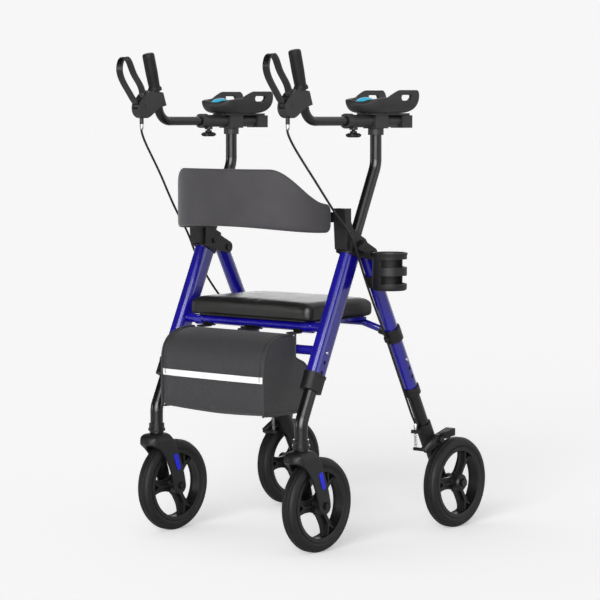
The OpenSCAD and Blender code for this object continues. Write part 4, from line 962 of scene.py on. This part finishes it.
def make_cable_ends(side, sign):
    x = sign * SIDE_X
    neck = [(0, 893), (3.1, 893), (3.6, 894), (3.6, 897)]
    nut = [(4.2, 897.5), (4.2, 903), (3.8, 904.5), (0, 904.5)]
    adjuster = turned(neck + nut, (x, ADJUSTER_Y, 0))
    piece(f"cable_adjuster_{side}", adjuster, ZINC_STEEL, f"handle_{side}", crease=35)
    profile = [(0, 226.6), (3.4, 226.6), (3.4, 230), (3.9, 230.5), (3.9, 238), (3.2, 240), (0, 240)]
    ferrule = turned(profile, (x, FERRULE_Y, 0))
    piece(f"cable_ferrule_{side}", ferrule, ZINC_STEEL, f"rear_foot_{side}", crease=35)

    top, eye = Vector((x, *WIRE["top"])) * MM, Vector((x, *WIRE["eye"])) * MM
    coils = []
    last = SPRING["turns"] * SPRING["steps"]
    for k in range(last + 1):
        at = top.lerp(eye, SPRING["from"] + SPRING["share"] * k / last)
        turn = 2 * pi * k / SPRING["steps"]
        coils.append(at + Vector((cos(turn), sin(turn), 0)) * SPRING["r"] * MM)
    wire = cord_mesh("wire", [top, eye], WIRE["r"] * MM, sides=2)
    spring = cord_mesh("spring", coils, SPRING["wire_r"] * MM, sides=2)
    for name, mesh in (("brake_wire", wire), ("brake_spring", spring)):
        obj = shown(f"{name}_{side}", mesh, ZINC_STEEL)
        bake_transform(obj)


# Brake cables: one cord for each stretch between the two bodies that hold its ends

CABLE_R = 2.5
CABLE_STEPS = 8
CABLE = [
    (211, -312, 904.5), (211, -312, 888), (213, -297, 862), (217, -268, 825), (222, -240, 790),
    (228, -212, 753), (234, -182, 715), (239, -154, 684), (241, -131, 652), (240, -112, 614),
    (236, -86, 570), (229, -54, 525), (219, -20, 485), (212, 3, 460), (211, 16, 438),
    (211, 45, 382), (211, 77, 320), (211, 106, 264), (211, 121, 239), (211, 121, 228),
]
CABLE_STRETCHES = (  # bodies at the upper and the lower end, and the first and the last point
    ("handle_{}", "arm_{}", 0, 5), ("arm_{}", "main_frame", 5, 8),
    ("main_frame", "rear_frame", 8, 13), ("rear_frame", "rear_foot_{}", 13, 19),
)


def make_brake_cable(side, sign):
    whole = [Vector((sign * x, y, z)) * MM for x, y, z in CABLE]
    path = smooth_path(whole, CABLE_STEPS)
    for number, (above, below, first, last) in enumerate(CABLE_STRETCHES, 1):
        name = f"brake_cable_{side}_{number}"
        mesh = cord_mesh(name, path[first * CABLE_STEPS:last * CABLE_STEPS + 1], CABLE_R * MM)
        stretch = shown(name, mesh, CABLE_PVC, crease=60)
        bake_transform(stretch)
        if (side, number) == ("left", 1):
            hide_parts("brake_cables")


make_seat()
make_cup_holder()
make_bag_trim(make_bag())
make_backrest()
for side, sign in SIDES:
    make_forearm_pad(side, sign)
    make_fork(side, sign)
    make_fork_inset(side, sign)
    make_brake_arm(side, sign)
    make_cable_ends(side, sign)
for side, sign in SIDES:
    make_brake_cable(side, sign)


# Floor, world and lamp

PAPER = "#f7f7f7"
PAPER_GLOW = 0.36
FILL_FROM = Vector((-0.7, -0.6, 0.4)).normalized()
FILL = (0.06, 0.62)
SHINE_LEAST = 0.04
# What shiny surfaces see of the studio: where it is, where it starts and is full, how bright
SHINE = [
    ((0.25, 0.93, 0.25), 0.0, 1.0, 0.95),  # pale wall behind
    ((0.95, 0.30, 0.15), 0.85, 0.97, 0.9),  # wide screen on the left of the walker
    ((0.75, -0.65, 0.25), 0.945, 0.97, 6.5),  # softbox in front
    ((-0.80, -0.60, 0.10), 0.99, 0.997, 8.0),  # tall strip on the right of the walker
    ((-0.65, 0.75, 0.15), 0.92, 0.98, 2.4),  # lit corner of the wall behind
]
KEY_AT, KEY_TARGET = (1.72, -3.6, 1.25), (0, 0, 0.1)


def make_world():
    """A plain backdrop for the camera, a soft fill for the shading and a studio for the shine."""
    world = bpy.data.worlds.new("studio")
    world.use_nodes = True
    tree = world.node_tree
    tree.nodes.clear()
    rays = add(tree, "ShaderNodeLightPath").outputs
    seen = add(tree, "ShaderNodeMath", {0: rays["Is Camera Ray"], 1: rays["Is Transmission Ray"]},
               operation="MAXIMUM")
    way = add(tree, "ShaderNodeTexCoord").outputs["Generated"]
    fill_at = add(tree, "ShaderNodeVectorMath", {0: way, 1: FILL_FROM}, operation="DOT_PRODUCT")
    fill = add(tree, "ShaderNodeMapRange", {"Value": fill_at.outputs["Value"], "From Min": -0.8,
                                            "From Max": 1.0, "To Min": FILL[0], "To Max": FILL[1]})
    shine = SHINE_LEAST
    for place, start, full, strength in SHINE:
        toward = add(tree, "ShaderNodeVectorMath", {0: way, 1: Vector(place).normalized()},
                     operation="DOT_PRODUCT")
        patch = add(tree, "ShaderNodeMapRange", {"Value": toward.outputs["Value"],
                                                 "From Min": start, "From Max": full,
                                                 "To Max": strength},
                    interpolation_type="SMOOTHSTEP")
        total = add(tree, "ShaderNodeMath", {0: shine, 1: patch.outputs["Result"]}, operation="ADD")
        shine = total.outputs[0]
    level = add(tree, "ShaderNodeMix", {0: rays["Is Glossy Ray"], 2: fill.outputs["Result"],
                                        3: shine})
    lit = add(tree, "ShaderNodeBackground", {"Color": srgb("#ffffff"),
                                             "Strength": level.outputs[0]})
    backdrop = add(tree, "ShaderNodeBackground", {"Color": srgb(PAPER), "Strength": 1.0})
    mixed = add(tree, "ShaderNodeMixShader", {0: seen.outputs[0], 1: lit.outputs[0],
                                              2: backdrop.outputs[0]})
    add(tree, "ShaderNodeOutputWorld", {"Surface": mixed.outputs[0]})
    scene.world = world


def make_floor():
    # Seamless paper: matt and even, and to the camera as bright as the background behind it.
    mat, tree, shader, _ = blank("seamless_paper")
    rays = add(tree, "ShaderNodeLightPath").outputs
    glow = add(tree, "ShaderNodeMath", {0: rays["Is Camera Ray"], 1: PAPER_GLOW},
               operation="MULTIPLY")
    shader.inputs["Base Color"].default_value = srgb("#f4f4f4")
    shader.inputs["Roughness"].default_value = 1.0
    shader.inputs["Specular IOR Level"].default_value = 0.0
    shader.inputs["Emission Color"].default_value = srgb("#ffffff")
    tree.links.new(glow.outputs[0], shader.inputs["Emission Strength"])
    bm = bmesh.new()
    bmesh.ops.create_grid(bm, x_segments=1, y_segments=1, size=80)
    floor = piece("floor", bm, mat)


make_world()
make_floor()

key = bpy.data.lights.new("key", "SUN")
key.energy = 2.7
key.angle = radians(40)
key_lamp = bpy.data.objects.new("key", key)
scene.collection.objects.link(key_lamp)
aim(key_lamp, KEY_AT, KEY_TARGET)
